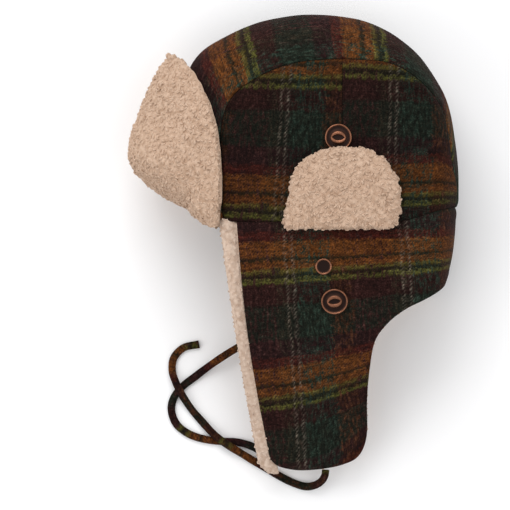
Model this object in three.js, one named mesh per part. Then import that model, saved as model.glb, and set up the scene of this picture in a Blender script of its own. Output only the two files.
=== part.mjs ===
// A bomber hat of brushed plaid wool with a sherpa lining, lying on its right side.
//
// Millimetres. X points to the back of the hat, Y to the top of the crown and Z up from the
// surface that it lies on, so the hat's left side faces up. The origin lies on that surface,
// under the middle of the rim. "Left" and "right" are the wearer's.
//
// The crown is two side panels, each of a front and a back half, and one gusset that runs over
// the top between them. Below the rim hang two long ear flaps that meet behind the neck. The
// peak is turned up in front, and on each side a D-shaped ear cover is folded up.

import * as THREE from "three";

// ---- driving dimensions ----------------------------------------------------------------

const CLOTH = 1.6; // thickness of the wool cloth
const GAP = 0.3; // room between neighbouring pieces
const PILE = 6; // depth of the sherpa lining
const LINING_TOP = CLOTH + GAP;
const LINING_FOOT = LINING_TOP + PILE;

const LEFT = 1; // the side that faces up
const RIGHT = -1; // the side that lies on the surface

const MIDDLE = 55; // height of the hat's middle plane
const NEAR_HEIGHT = 105; // height of the left side at the rim
const CROWN_CENTRE_X = 3; // the crown's rays fan out from here, on the rim
const CROWN_STEP = 6; // degrees between two rays
const GUSSET_STEPS = 10;
const PANEL_RINGS = [0.35, 0.7, 1];
const FLAP_STEPS = 10;

// The left side bulges a little towards its middle.
const DOME = { x: 2, y: 42, spanX: 105, spanY: 110, rise: 4 };

// The right side lies on the surface, except where the ear cover and the peak's end are under
// it. overCover: its height there, and from which part of the spans it falls off.
const UNDERSIDE = {
  x: 2, y: 28, spanX: 95, spanY: 85, overCover: 6.4, level: 0.76, down: 1.25,
  overPeak: 12.5, peakStart: 68, peakEnd: 92, peakFoot: -70, peakTop: 0,
};

// The right flap lies a little drawn up, and its front edge a little further back.
const RIGHT_FLAP = { length: 0.96, width: 0.9, back: 20, neck: 60, full: 150 };

// The crown seen from its left: rays from the rim's middle, 0 degrees to the back and 90 up.
// reach: the outline; seam: the seam of panel and gusset; flat: where the rounding starts.
const CROWN_RAYS = [
  { angle: 0, reach: 96, seam: 95, flat: 73 },
  { angle: 12, reach: 100, seam: 98.5, flat: 78 },
  { angle: 24, reach: 107, seam: 101.5, flat: 84 },
  { angle: 36, reach: 117.5, seam: 111.5, flat: 95 },
  { angle: 48, reach: 133, seam: 125.5, flat: 112 },
  { angle: 60, reach: 147.5, seam: 133.5, flat: 126 },
  { angle: 72, reach: 160.5, seam: 138, flat: 132 },
  { angle: 84, reach: 169.5, seam: 136, flat: 131 },
  { angle: 96, reach: 175, seam: 136, flat: 131 },
  { angle: 108, reach: 180, seam: 138.5, flat: 133 },
  { angle: 120, reach: 183.5, seam: 139.5, flat: 134 },
  { angle: 132, reach: 184, seam: 138.5, flat: 133 },
  { angle: 144, reach: 166, seam: 125.5, flat: 119 },
  { angle: 156, reach: 145, seam: 111, flat: 105 },
  { angle: 168, reach: 131, seam: 103, flat: 97 },
  { angle: 180, reach: 124, seam: 99, flat: 93 },
];

// One ear flap with its half of the neck, as lines from the rim down to the free edge.
// rim: where the line starts; x, y: where it ends; bow: how far its middle stands out in X;
// turn: 90 on the flat side, falling to 0 at the middle of the back.
const FLAP_LINES = [
  { rim: -85, x: -57, y: -200, bow: -4, turn: 90 },
  { rim: -71, x: -50, y: -206, bow: -2, turn: 90 },
  { rim: -56, x: -34, y: -209.5, bow: 0, turn: 90 },
  { rim: -40, x: -14, y: -208.5, bow: 0, turn: 90 },
  { rim: -24, x: 5, y: -204.5, bow: 0, turn: 90 },
  { rim: -8, x: 18, y: -197, bow: 0, turn: 90 },
  { rim: 8, x: 24.5, y: -180, bow: 0, turn: 90 },
  { rim: 22, x: 24.5, y: -150, bow: 0, turn: 90 },
  { rim: 34, x: 26.5, y: -123, bow: 0, turn: 90 },
  { rim: 46, x: 31, y: -99, bow: 0, turn: 90 },
  { rim: 57, x: 43, y: -83, bow: 0, turn: 90 },
  { rim: 67, x: 57, y: -72.5, bow: 1, turn: 90 },
  { rim: 76, x: 70, y: -66, bow: 2, turn: 90 },
  { rim: 87.5, x: 81, y: -60, bow: 3, turn: 60 },
  { rim: 95.5, x: 88, y: -55, bow: 3, turn: 32 },
  { rim: 99, x: 91, y: -50, bow: 3, turn: 0 },
];

// The lining is rolled out past the flap's front edge. Its outer line, and its middle line.
const ROLL_LINES = [
  { rim: -99.5, x: -66, y: -199, bow: -7, turn: 90, proud: -2.5, foot: 5 },
  { rim: -94, x: -62, y: -202.5, bow: -6, turn: 90, proud: 1.2, foot: 9 },
  { rim: -86.2, x: -58.2, y: -201, bow: -4, turn: 90, proud: -LINING_TOP, foot: 8.5 },
];

// How the left flap hangs: the height of its outer face, down the flap.
const DROOP = [
  { y: -215, height: 21 },
  { y: -160, height: 47 },
  { y: -120, height: 71 },
  { y: -80, height: 91 },
  { y: -40, height: 102 },
  { y: 0, height: NEAR_HEIGHT },
  { y: 190, height: NEAR_HEIGHT },
];

// The peak's free edge, from the middle of the forehead (0) to its left end (1).
const PEAK_EDGE = [
  { across: 0, x: -138, y: 135, z: MIDDLE },
  { across: 0.2, x: -130, y: 131, z: 72 },
  { across: 0.35, x: -121, y: 122, z: 88 },
  { across: 0.5, x: -112, y: 107, z: 99 },
  { across: 0.65, x: -104, y: 88, z: 106 },
  { across: 0.8, x: -99, y: 64, z: 110 },
  { across: 0.9, x: -97, y: 42, z: 111 },
  { across: 1, x: -97, y: 22, z: 110 },
];
const PEAK = {
  hingeAngle: 175.5, // the ray that its hinge follows round the front of the rim
  hingeTurn: 74, // how far round towards each side the hinge goes, in degrees
  hingeRoom: 0.9, // how far the hinge stands off the crown
  bulge: 42, // how far its middle stands forward of a straight panel
  ends: 2.2, // over 2 keeps the bulge full further towards the ends
  rise: 0.78, // under 1 puts the fullest place nearer the hinge
  steps: 7,
  halfSteps: 7,
  pile: 7.5,
  rounding: 3, // how far the pile falls at the edges
  edge: 6, // the higher, the closer to the edges it falls
  rightScale: 0.88, // the right half is pressed by the hat's weight
};

// The ear cover's outline, hinged along its lower edge and folded up.
const COVER_OUTLINE = [
  { x: -49, y: -3 },
  { x: -45, y: 18 },
  { x: -40, y: 39 },
  { x: -29, y: 54 },
  { x: -12, y: 61.5 },
  { x: 6, y: 63.5 },
  { x: 24, y: 62 },
  { x: 39, y: 54 },
  { x: 49, y: 39 },
  { x: 53.5, y: 21 },
  { x: 51, y: 1 },
  { x: 45, y: -6.5 },
  { x: 24, y: -7.6 },
  { x: 0, y: -7.8 },
  { x: -24, y: -7.4 },
  { x: -45, y: -6.5 },
];
const COVER = {
  x: 3,
  y: 26,
  clothSize: 0.86, // the cloth stops short of the pile's edge
  pile: 8,
  rounding: 3.4,
  pressedPile: 4.2, // on the right, under the hat's weight
  rim: 0.55,
  overSnap: 1.6, // how far the pile's underside clears the snap
  snapFoot: 46,
  snapTop: 56,
};

const SNAP = { radius: 11.3, height: 2.8, eye: 2.6, sides: 16 };
const RING = { radius: 7, height: 2, sides: 14 };
const HARDWARE = [
  { name: "snap_crown_left", x: -0.4, y: 70.2, kind: "snap" },
  { name: "snap_flap_left", x: -3.4, y: -65.8, kind: "snap" },
  { name: "ring_stud_left", x: -12.6, y: -37, kind: "ring" },
];

const TIE = { width: 6.4, thickness: 3, sides: 8 };
const TIE_REST = TIE.thickness / 2 + GAP; // height of a tie's middle on the surface

// The routes of the two ties, each from the flap's lower edge to its cut end.
const LEFT_TIE_ROUTE = [
  [-10, -209.3, 14.6],
  [-10.4, -213.5, 14],
  [-13, -218.5, 11.4],
  [-19, -222.6, 7.4],
  [-27, -223.8, 3.6],
  [-40.3, -219.5, TIE_REST],
  [-61.3, -207.8, TIE_REST],
  [-80, -196.6, 2.8],
  [-90, -190.4, 5],
  [-98.3, -184.8, 5.5],
  [-105.8, -178.4, 5],
  [-113, -170.6, 3],
  [-123, -159, 2.8],
  [-129.8, -149, 5],
  [-133.8, -142, 5.4],
  [-137.2, -134.5, 5],
  [-139.8, -126, 2.6],
  [-138.6, -115.2, TIE_REST],
  [-130.5, -106.5, TIE_REST],
  [-117, -103.3, TIE_REST],
];
const RIGHT_TIE_ROUTE = [
  [-58.8, -196, 4.6],
  [-64, -194.4, 4],
  [-71, -190.4, 2.6],
  [-83, -186.6, TIE_REST],
  [-98.3, -185.6, TIE_REST],
  [-111.7, -184, TIE_REST],
  [-126, -179.2, TIE_REST],
  [-136.5, -170.6, TIE_REST],
  [-140.6, -158, TIE_REST],
  [-137.6, -147, TIE_REST],
  [-130.5, -138.6, TIE_REST],
  [-120, -130.5, 2.6],
  [-109.7, -122.6, 5.4],
  [-97, -113.8, 11.2],
  [-84, -105.8, 12.6],
  [-68, -97.5, 12],
  [-51, -91.5, 10.8],
  [-36, -88.5, 10],
];

// ---- finishes --------------------------------------------------------------------------

function finish(colour, roughness, metalness = 0) {
  return { color: new THREE.Color(colour), roughness, metalness };
}

const WOOL = finish(0x35251f, 0.95);
const SHERPA = finish(0xc6a68f, 1);
const COPPER = finish(0x8a5f4c, 0.4, 0.9);
const TIE_CLOTH = finish(0x30211a, 0.95);

const hat = new THREE.Group();

function addPiece(name, geometry, look) {
  const piece = new THREE.Mesh(geometry, new THREE.MeshStandardMaterial(look));
  piece.name = name;
  hat.add(piece);
  return piece;
}

// ---- small helpers ---------------------------------------------------------------------

const { clamp, degToRad: radians, lerp, radToDeg: degrees, smoothstep } = THREE.MathUtils;

// A smooth curve through one or more columns of a table, read at a value of its key column.
function smoothTable(rows, key, columns) {
  const keys = rows.map((row) => row[key]);
  const values = rows.flatMap((row) => columns.map((column) => row[column]));
  const curve = new THREE.CubicInterpolant(keys, values, columns.length);
  return (at) => Array.from(curve.evaluate(at));
}

const crownRay = smoothTable(CROWN_RAYS, "angle", ["reach", "seam", "flat"]);
const droopAt = smoothTable(DROOP, "y", ["height"]);

// Height of the hat's left outer face over the surface, with the side's soft crown to it.
function leftHeight(x, y) {
  const dome = 1 - ((x - DOME.x) / DOME.spanX) ** 2 - ((y - DOME.y) / DOME.spanY) ** 2;
  return droopAt(y)[0] + DOME.rise * Math.max(0, dome);
}

// Height of the hat's right outer face.
function rightHeight(x, y) {
  const under = UNDERSIDE;
  const aside = Math.hypot((x - under.x) / under.spanX, (y - under.y) / under.spanY);
  const overCover = 1 - smoothstep(aside, under.level, under.down);
  const forward = smoothstep(-x, under.peakStart, under.peakEnd);
  const overPeak = forward * smoothstep(y, under.peakFoot, under.peakTop);
  return Math.max(under.overCover * overCover, under.overPeak * overPeak);
}

// Height of a point that lies a depth inside the outer face, turned this far to the flat side.
function heightOf(x, y, turn, side, depth) {
  const face = side === LEFT ? leftHeight(x, y) - depth : rightHeight(x, y) + depth;
  return MIDDLE + (face - MIDDLE) * Math.sin(turn);
}

// A closed sheet: point(u, v, layer) gives its outer face for layer 0 and its inner face for 1.
// across and along count its cells. wrap closes it round in u. Points that meet are joined,
// and faces with no area are left out.
function sheetSolid(point, across, along, wrap = false) {
  const corners = [];
  const seen = new Map();
  const index = (u, v, layer) => {
    const p = point(wrap ? u % across : u, v, layer);
    const name = [p.x, p.y, p.z].map((value) => value.toFixed(3)).join(" ");
    if (!seen.has(name)) {
      seen.set(name, corners.length / 3);
      corners.push(p.x, p.y, p.z);
    }
    return seen.get(name);
  };
  const faces = [];
  const quad = (a, b, c, d) => {
    for (const face of [[a, b, c], [a, c, d]]) {
      if (new Set(face).size === 3) faces.push(...face);
    }
  };
  for (let u = 0; u < across; u++) {
    for (let v = 0; v < along; v++) {
      quad(index(u, v, 0), index(u + 1, v, 0), index(u + 1, v + 1, 0), index(u, v + 1, 0));
      quad(index(u, v, 1), index(u, v + 1, 1), index(u + 1, v + 1, 1), index(u + 1, v, 1));
    }
    quad(index(u, 0, 0), index(u, 0, 1), index(u + 1, 0, 1), index(u + 1, 0, 0));
    quad(index(u, along, 0), index(u + 1, along, 0), index(u + 1, along, 1), index(u, along, 1));
  }
  for (let v = 0; v < along && !wrap; v++) {
    quad(index(0, v, 0), index(0, v + 1, 0), index(0, v + 1, 1), index(0, v, 1));
    quad(index(across, v, 0), index(across, v, 1), index(across, v + 1, 1), index(across, v + 1, 0));
  }
  return facingOut(corners, faces);
}

// A geometry from corners and faces, turned so that its faces point outwards.
function facingOut(corners, faces) {
  const at = (i) => new THREE.Vector3().fromArray(corners, 3 * i);
  let volume = 0;
  for (let i = 0; i < faces.length; i += 3) {
    volume += at(faces[i]).dot(at(faces[i + 1]).cross(at(faces[i + 2])));
  }
  const turned = volume < 0 ? faces.slice().reverse() : faces;
  const geometry = new THREE.BufferGeometry();
  geometry.setAttribute("position", new THREE.Float32BufferAttribute(corners, 3));
  geometry.setIndex(turned);
  geometry.computeVertexNormals();
  return geometry;
}

// ---- crown -----------------------------------------------------------------------------

// A point of the crown on the ray at this angle, turned round from its left side (90 degrees)
// over the outline (0) to its right side (-90), at a depth under the outer face.
function roundPoint(angle, turn, depth) {
  const [reach, , flat] = crownRay(angle);
  const side = turn < 0 ? RIGHT : LEFT;
  const bend = radians(Math.abs(turn));
  const distance = flat + (reach - flat - depth) * Math.cos(bend);
  const x = CROWN_CENTRE_X + distance * Math.cos(radians(angle));
  const y = distance * Math.sin(radians(angle)) + GAP / 2;
  return new THREE.Vector3(x, y, heightOf(x, y, bend, side, depth));
}

// How far round the seam of panel and gusset lies on a ray, in degrees.
function seamTurn(angle) {
  const [reach, seam, flat] = crownRay(angle);
  return degrees(Math.acos((seam - flat) / (reach - flat)));
}

// The turn that stays clear of the seam by the gap, on the panel's side.
function panelEdgeTurn(angle) {
  const [reach, , flat] = crownRay(angle);
  const bend = radians(seamTurn(angle));
  const stretch = Math.hypot((reach - flat) * Math.sin(bend), MIDDLE * Math.cos(bend));
  return Math.min(90, seamTurn(angle) + degrees((2 * GAP) / stretch));
}

function gussetSolid(top, foot) {
  const rays = 180 / CROWN_STEP;
  const point = (u, v, layer) => {
    const angle = u * CROWN_STEP;
    const turn = seamTurn(angle) * (1 - (2 * v) / GUSSET_STEPS);
    return roundPoint(angle, turn, layer ? foot : top);
  };
  return sheetSolid(point, rays, GUSSET_STEPS);
}

// A side panel between two rays. Its rings run from the middle of the rim to the seam.
function panelSolid(side, from, to, top, foot, shift = 0) {
  const rounded = 2;
  const rings = PANEL_RINGS.length + rounded;
  const point = (u, v, layer) => {
    const angle = from + u * CROWN_STEP;
    const depth = layer ? foot : top;
    const [, , flat] = crownRay(angle);
    if (v <= PANEL_RINGS.length) {
      const distance = v ? flat * PANEL_RINGS[v - 1] : 0;
      const x = CROWN_CENTRE_X + distance * Math.cos(radians(angle)) + shift;
      const y = distance * Math.sin(radians(angle)) + GAP / 2;
      return new THREE.Vector3(x, y, heightOf(x, y, Math.PI / 2, side, depth));
    }
    const part = (v - PANEL_RINGS.length) / rounded;
    const turn = lerp(90, panelEdgeTurn(angle), part);
    const p = roundPoint(angle, side * turn, depth);
    return p.setX(p.x + shift);
  };
  return sheetSolid(point, (to - from) / CROWN_STEP, rings);
}

addPiece("crown_gusset", gussetSolid(0, CLOTH), WOOL);
addPiece("crown_lining_gusset", gussetSolid(LINING_TOP, LINING_FOOT), SHERPA);
for (const [side, name] of [[LEFT, "left"], [RIGHT, "right"]]) {
  addPiece(`crown_side_${name}_back`, panelSolid(side, 0, 90, 0, CLOTH, GAP / 2), WOOL);
  addPiece(`crown_side_${name}_front`, panelSolid(side, 90, 180, 0, CLOTH, -GAP / 2), WOOL);
  addPiece(`crown_lining_${name}`, panelSolid(side, 0, 180, LINING_TOP, LINING_FOOT), SHERPA);
}

// ---- ear flaps and neck ----------------------------------------------------------------

// Where one of the flap's lines ends on the right side.
function rightLineEnd({ x, y }) {
  const { length, width, back, neck, full } = RIGHT_FLAP;
  const drawn = (1 - length) * smoothstep(-y, neck, full);
  return { x: x + (1 - width) * (back - Math.min(x, back)), y: y * (1 - drawn) };
}

// A point on one of the flap's lines, v steps down from the rim.
function flapPoint(line, v, side, depth) {
  const part = v / FLAP_STEPS;
  const bend = radians(line.turn);
  const end = side === LEFT ? line : rightLineEnd(line);
  const bow = line.bow * Math.sin(Math.PI * part);
  const x = lerp(line.rim, end.x, part) + bow - depth * Math.cos(bend);
  const y = end.y * part - GAP / 2;
  const clear = (side * GAP) / 2;
  return new THREE.Vector3(x, y, heightOf(x, y, bend, side, depth) + (bend ? 0 : clear));
}

function flapSolid(side) {
  const point = (u, v, layer) => flapPoint(FLAP_LINES[u], v, side, layer ? CLOTH : 0);
  return sheetSolid(point, FLAP_LINES.length - 1, FLAP_STEPS);
}

// The flap's lining, with the roll along its front edge that stands level with the cloth.
function flapLiningSolid(side) {
  const lines = [...ROLL_LINES, ...FLAP_LINES];
  const point = (u, v, layer) => {
    const line = lines[u];
    const top = line.proud === undefined ? LINING_TOP : -line.proud;
    const raised = side === RIGHT ? Math.max(top, 0) : top;
    const foot = line.foot ?? LINING_FOOT;
    return flapPoint(line, v, side, layer ? foot : raised);
  };
  return sheetSolid(point, lines.length - 1, FLAP_STEPS);
}

for (const [side, name] of [[LEFT, "left"], [RIGHT, "right"]]) {
  addPiece(`ear_flap_${name}`, flapSolid(side), WOOL);
  addPiece(`ear_flap_lining_${name}`, flapLiningSolid(side), SHERPA);
}

// ---- peak ------------------------------------------------------------------------------

const peakEdge = smoothTable(PEAK_EDGE, "across", ["x", "y", "z"]);

// A point of the peak's cloth: across runs from -1 (right end) to 1 (left end), part from its
// hinge (0) to its free edge (1).
function peakPoint(across, part) {
  const half = Math.abs(across);
  const room = PEAK.hingeRoom + CLOTH * half;
  const hinge = roundPoint(PEAK.hingeAngle, PEAK.hingeTurn * half, -room);
  const edge = new THREE.Vector3(...peakEdge(half));
  const p = hinge.lerp(edge, part);
  p.x -= PEAK.bulge * (1 - half ** PEAK.ends) * Math.sin(Math.PI * part ** PEAK.rise);
  const side = across < 0 ? -PEAK.rightScale : 1;
  return p.setZ(MIDDLE + (p.z - MIDDLE) * side);
}

// The way out of the peak's pile side at a point.
function peakNormal(across, part) {
  const small = 0.02;
  const a = clamp(across, -1 + small, 1 - small);
  const b = clamp(part, small, 1 - small);
  const alongA = peakPoint(a + small, b).sub(peakPoint(a - small, b));
  const alongB = peakPoint(a, b + small).sub(peakPoint(a, b - small));
  return alongA.cross(alongB).normalize();
}

function peakSolid(top, foot, rounding) {
  const across = 2 * PEAK.halfSteps;
  const point = (u, v, layer) => {
    const a = (u - PEAK.halfSteps) / PEAK.halfSteps;
    const b = v / PEAK.steps;
    const atEdge = Math.max(Math.abs(a), b) ** PEAK.edge;
    const height = layer ? foot : top - rounding * atEdge;
    return peakPoint(a, b).addScaledVector(peakNormal(a, b), height);
  };
  return sheetSolid(point, across, PEAK.steps);
}

addPiece("peak_cloth", peakSolid(0, -CLOTH, 0), WOOL);
addPiece("peak_pile", peakSolid(PEAK.pile, GAP, PEAK.rounding), SHERPA);

// ---- ear covers ------------------------------------------------------------------------

const coverLine = new THREE.CatmullRomCurve3(
  COVER_OUTLINE.map(({ x, y }) => new THREE.Vector3(x, y, 0)),
  true,
);

// A D-shaped layer on a side of the hat, between two heights over that side's outer face.
// rounding lowers the outer face along the edge.
function coverSolid(side, size, low, high, rounding) {
  const sides = 20;
  const rings = [0, COVER.rim, 1];
  const point = (u, v, layer) => {
    const edge = coverLine.getPoint(u / sides);
    const x = lerp(COVER.x, edge.x, rings[v] * size);
    const y = lerp(COVER.y, edge.y, rings[v] * size);
    const overSnap = COVER.overSnap * smoothstep(y, COVER.snapFoot, COVER.snapTop);
    const outer = high - rounding * (v === rings.length - 1 ? 1 : 0);
    const height = layer ? low + (low > CLOTH ? overSnap : 0) : outer;
    if (side === LEFT) return new THREE.Vector3(x, y, leftHeight(x, y) + height);
    return new THREE.Vector3(x, y, rightHeight(COVER.x, COVER.y) - height);
  };
  return sheetSolid(point, sides, rings.length - 1, true);
}

const coverTop = GAP + CLOTH;
const pileFoot = coverTop + GAP;
for (const [side, name, pile, rounding] of [
  [LEFT, "left", COVER.pile, COVER.rounding],
  [RIGHT, "right", COVER.pressedPile, 0],
]) {
  const cloth = coverSolid(side, COVER.clothSize, GAP, coverTop, 0);
  addPiece(`ear_cover_${name}_cloth`, cloth, WOOL);
  const pad = coverSolid(side, 1, pileFoot, pileFoot + pile, rounding);
  addPiece(`ear_cover_${name}_pile`, pad, SHERPA);
}

// ---- snaps -----------------------------------------------------------------------------

// A snap socket: an outer ring, a groove and a raised middle with an eye.
function snapProfile({ radius, height, eye }) {
  return [
    [0, 0],
    [radius - 0.6, 0],
    [radius, 0.9],
    [radius - 0.7, height - 0.4],
    [radius - 2, height],
    [radius - 3.6, height - 1.4],
    [radius - 4.6, height - 0.5],
    [eye + 1, height - 0.2],
    [eye, 1],
    [0, 0.9],
  ];
}

// A ring stud: a narrow rim round a flat, sunken middle.
function ringProfile({ radius, height }) {
  return [
    [0, 0],
    [radius - 0.4, 0],
    [radius, 0.8],
    [radius - 0.6, height],
    [radius - 1.8, height - 0.3],
    [radius - 2.2, 1.1],
    [0, 1],
  ];
}

// Sets a round piece on the left face, square to it.
function seatOnLeft(piece, x, y) {
  const step = 6;
  const slopeX = (leftHeight(x + step, y) - leftHeight(x - step, y)) / (2 * step);
  const slopeY = (leftHeight(x, y + step) - leftHeight(x, y - step)) / (2 * step);
  const normal = new THREE.Vector3(-slopeX, -slopeY, 1).normalize();
  piece.quaternion.setFromUnitVectors(new THREE.Vector3(0, 0, 1), normal);
  piece.position.set(x, y, leftHeight(x, y)).addScaledVector(normal, GAP);
}

for (const { name, x, y, kind } of HARDWARE) {
  const size = kind === "snap" ? SNAP : RING;
  const profile = kind === "snap" ? snapProfile(SNAP) : ringProfile(RING);
  const points = profile.map(([r, h]) => new THREE.Vector2(r, h));
  const turned = new THREE.LatheGeometry(points, size.sides).rotateX(Math.PI / 2);
  seatOnLeft(addPiece(name, turned, COPPER), x, y);
}

// ---- ties ------------------------------------------------------------------------------

// A smooth route along which a flat tape keeps its broad faces level.
class LevelRoute extends THREE.CatmullRomCurve3 {
  computeFrenetFrames(segments) {
    const up = new THREE.Vector3(0, 0, 1);
    const parts = Array.from({ length: segments + 1 }, (_, i) => i / segments);
    const tangents = parts.map((part) => this.getTangentAt(part));
    const binormals = tangents.map((tangent) => tangent.clone().cross(up).normalize());
    const normals = tangents.map((tangent, i) => binormals[i].clone().cross(tangent));
    return { tangents, normals, binormals };
  }
}

// A flat tape with round edges along a route.
function tieSolid(route) {
  const section = new THREE.Shape();
  for (let i = 0; i < TIE.sides; i++) {
    const turn = (2 * Math.PI * (i + 0.5)) / TIE.sides;
    const widen = Math.cos(Math.PI / TIE.sides);
    const thick = ((TIE.thickness / 2) * Math.cos(turn)) / widen;
    const wide = ((TIE.width / 2) * Math.sin(turn)) / widen;
    if (i) section.lineTo(thick, wide);
    else section.moveTo(thick, wide);
  }
  section.closePath();
  const path = new LevelRoute(route.map((p) => new THREE.Vector3(...p)));
  const steps = Math.round(path.getLength() / TIE.width);
  return new THREE.ExtrudeGeometry(section, { steps, extrudePath: path, bevelEnabled: false });
}

addPiece("tie_left", tieSolid(LEFT_TIE_ROUTE), TIE_CLOTH);
addPiece("tie_right", tieSolid(RIGHT_TIE_ROUTE), TIE_CLOTH);

export default hat;
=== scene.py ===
"""The look of a bomber hat of plaid wool with a sherpa lining, lying on its right side.

The surfaces are worked out in millimetres: X points to the back of the hat, Y to the top of its
crown and Z up from the surface that it lies on, so its left side faces up. Meshes are in metres,
in the same frame. "Left" and "right" are the wearer's.
"""

import itertools
import logging
import math
from collections.abc import Callable, Sequence
from dataclasses import dataclass
from enum import Enum

import bmesh
import bpy
import numpy as np
from mathutils import Euler, Matrix, Vector
from mathutils.kdtree import KDTree


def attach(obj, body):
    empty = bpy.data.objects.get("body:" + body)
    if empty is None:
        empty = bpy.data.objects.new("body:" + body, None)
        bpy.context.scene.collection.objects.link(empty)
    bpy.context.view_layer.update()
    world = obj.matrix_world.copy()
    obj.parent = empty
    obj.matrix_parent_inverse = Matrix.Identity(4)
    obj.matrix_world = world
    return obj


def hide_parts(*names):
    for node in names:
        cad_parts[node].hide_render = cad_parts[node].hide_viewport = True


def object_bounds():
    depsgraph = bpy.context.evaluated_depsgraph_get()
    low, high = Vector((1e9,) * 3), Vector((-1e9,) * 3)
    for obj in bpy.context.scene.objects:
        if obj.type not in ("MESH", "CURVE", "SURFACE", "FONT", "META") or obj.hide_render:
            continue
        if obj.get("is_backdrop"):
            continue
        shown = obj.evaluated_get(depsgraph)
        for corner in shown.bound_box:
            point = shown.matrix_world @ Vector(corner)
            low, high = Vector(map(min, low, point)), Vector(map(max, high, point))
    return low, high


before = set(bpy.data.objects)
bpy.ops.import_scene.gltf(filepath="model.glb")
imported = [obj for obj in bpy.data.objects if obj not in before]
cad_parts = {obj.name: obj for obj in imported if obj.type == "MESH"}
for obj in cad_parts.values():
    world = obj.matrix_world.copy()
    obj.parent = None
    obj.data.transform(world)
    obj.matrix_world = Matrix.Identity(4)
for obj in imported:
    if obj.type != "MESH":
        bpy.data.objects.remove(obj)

CAD_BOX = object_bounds()
LOG = logging.getLogger("bomber_hat")
MM = 0.001
WELD = 1e-6  # distance in metres under which points are one
LOWEST = 0.05  # least height of a point, in millimetres
WARP_REPEAT, WEFT_REPEAT = 97.0, 108.0  # width and length of the plaid's repeat, in millimetres
MAP_UNIT = 100.0  # millimetres in a unit of the "plaid" map
TIE_REST = 1.8  # height of a tie's middle where it lies on the surface

Array = np.ndarray
Faces = tuple[Array, Array]  # the outer and the inner points of a layer
Rows = Sequence[Sequence[float]]
Colour = tuple[float, float, float]  # 0 to 255, as on a screen
Socket = bpy.types.NodeSocket


class Side(Enum):
    """The sides of the hat: the left one faces up, and the right one lies on the surface."""

    LEFT = 1
    RIGHT = -1


# ---- shape tables, in millimetres --------------------------------------------------------

# angle of a ray in degrees, outline, seam of panel and gusset, start of the rounding
CROWN_RAYS = (
    (0, 96, 95, 73), (12, 100, 98.5, 78), (24, 107, 101.5, 84), (36, 117.5, 111.5, 95),
    (48, 133, 125.5, 112), (60, 147.5, 133.5, 126), (72, 160.5, 138, 132), (84, 169.5, 136, 131),
    (96, 175, 136, 131), (108, 180, 138.5, 133), (120, 183.5, 139.5, 134), (132, 184, 138.5, 133),
    (144, 166, 125.5, 119), (156, 145, 111, 105), (168, 131, 103, 97), (180, 124, 99, 93),
)

# place in the row of lines, x at the rim, x and y at the free edge, bow, turn in degrees
FLAP_LINES = (
    (0, -85, -57, -200, -4, 90), (1, -71, -50, -206, -2, 90), (2, -56, -34, -209.5, 0, 90),
    (3, -40, -14, -208.5, 0, 90), (4, -24, 5, -204.5, 0, 90), (5, -8, 18, -197, 0, 90),
    (6, 8, 24.5, -180, 0, 90), (7, 22, 24.5, -150, 0, 90), (8, 34, 26.5, -123, 0, 90),
    (9, 46, 31, -99, 0, 90), (10, 57, 43, -83, 0, 90), (11, 67, 57, -72.5, 1, 90),
    (12, 76, 70, -66, 2, 90), (13, 87.5, 81, -60, 3, 60), (14, 95.5, 88, -55, 3, 32),
    (15, 99, 91, -50, 3, 0),
)

# lines of the lining's roll: as above, and the depths of its outer and its inner face
ROLL_LINES = (
    (-3, -99.5, -67, -203, -1.5, 90, 2.5, 5), (-2, -94, -59.5, -211, -2.5, 90, -1.2, 9),
    (-1, -86.2, -49.5, -212, -3.5, 90, 2.8, 8.5),
)

# y down the flap, height of the left outer face
DROOP = ((-215, 21), (-160, 47), (-120, 71), (-80, 91), (-40, 102), (0, 105), (190, 105))

# place from the middle of the forehead to the peak's end, x, y, z of its free edge
PEAK_EDGE = (
    (0, -138, 135, 55), (0.2, -130, 131, 72), (0.35, -121, 122, 88), (0.5, -112, 107, 99),
    (0.65, -104, 88, 106), (0.8, -99, 64, 110), (0.9, -97, 42, 111), (1, -97, 22, 110),
)

# y up the peak, how far its fold is drawn in towards the crown
PEAK_SLACK = (
    (-60, 0), (-18, 6), (2, 15.5), (18, 17.8), (35, 9), (52, 4), (69, 6.5), (86, 8.5), (102, 5.8),
    (125, 0), (200, 0),
)

# the ear cover's outline
COVER_OUTLINE = (
    (-49, -3), (-45, 18), (-40, 39), (-29, 54), (-12, 61.5), (6, 63.5), (24, 62), (39, 54),
    (49, 39), (53.5, 21), (51, 1), (45, -6.5), (24, -7.6), (0, -7.8), (-24, -7.4), (-45, -6.5),
)

# the middle of each tie
LEFT_TIE_ROUTE = (
    (-10, -209.3, 14.6), (-10.4, -213.5, 14), (-13, -218.5, 11.4), (-19, -222.6, 7.4),
    (-27, -223.8, 3.6), (-40.3, -219.5, TIE_REST), (-61.3, -207.8, TIE_REST), (-80, -196.6, 2.8),
    (-90, -190.4, 5), (-98.3, -184.8, 5.5), (-105.8, -178.4, 5), (-113, -170.6, 3),
    (-123, -159, 2.8), (-129.8, -149, 5), (-133.8, -142, 5.4), (-137.2, -134.5, 5),
    (-139.8, -126, 2.6), (-138.6, -115.2, TIE_REST), (-130.5, -106.5, TIE_REST),
    (-117, -103.3, TIE_REST),
)
RIGHT_TIE_ROUTE = (
    (-58.8, -196, 4.6), (-64, -194.4, 4), (-71, -190.4, 2.6), (-83, -186.6, TIE_REST),
    (-98.3, -185.6, TIE_REST), (-111.7, -184, TIE_REST), (-126, -179.2, TIE_REST),
    (-136.5, -170.6, TIE_REST), (-140.6, -158, TIE_REST), (-137.6, -147, TIE_REST),
    (-130.5, -138.6, TIE_REST), (-120, -130.5, 2.6), (-109.7, -122.6, 5.4), (-97, -113.8, 11.2),
    (-84, -105.8, 12.6), (-68, -97.5, 12), (-51, -91.5, 10.8), (-36, -88.5, 10),
)

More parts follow.
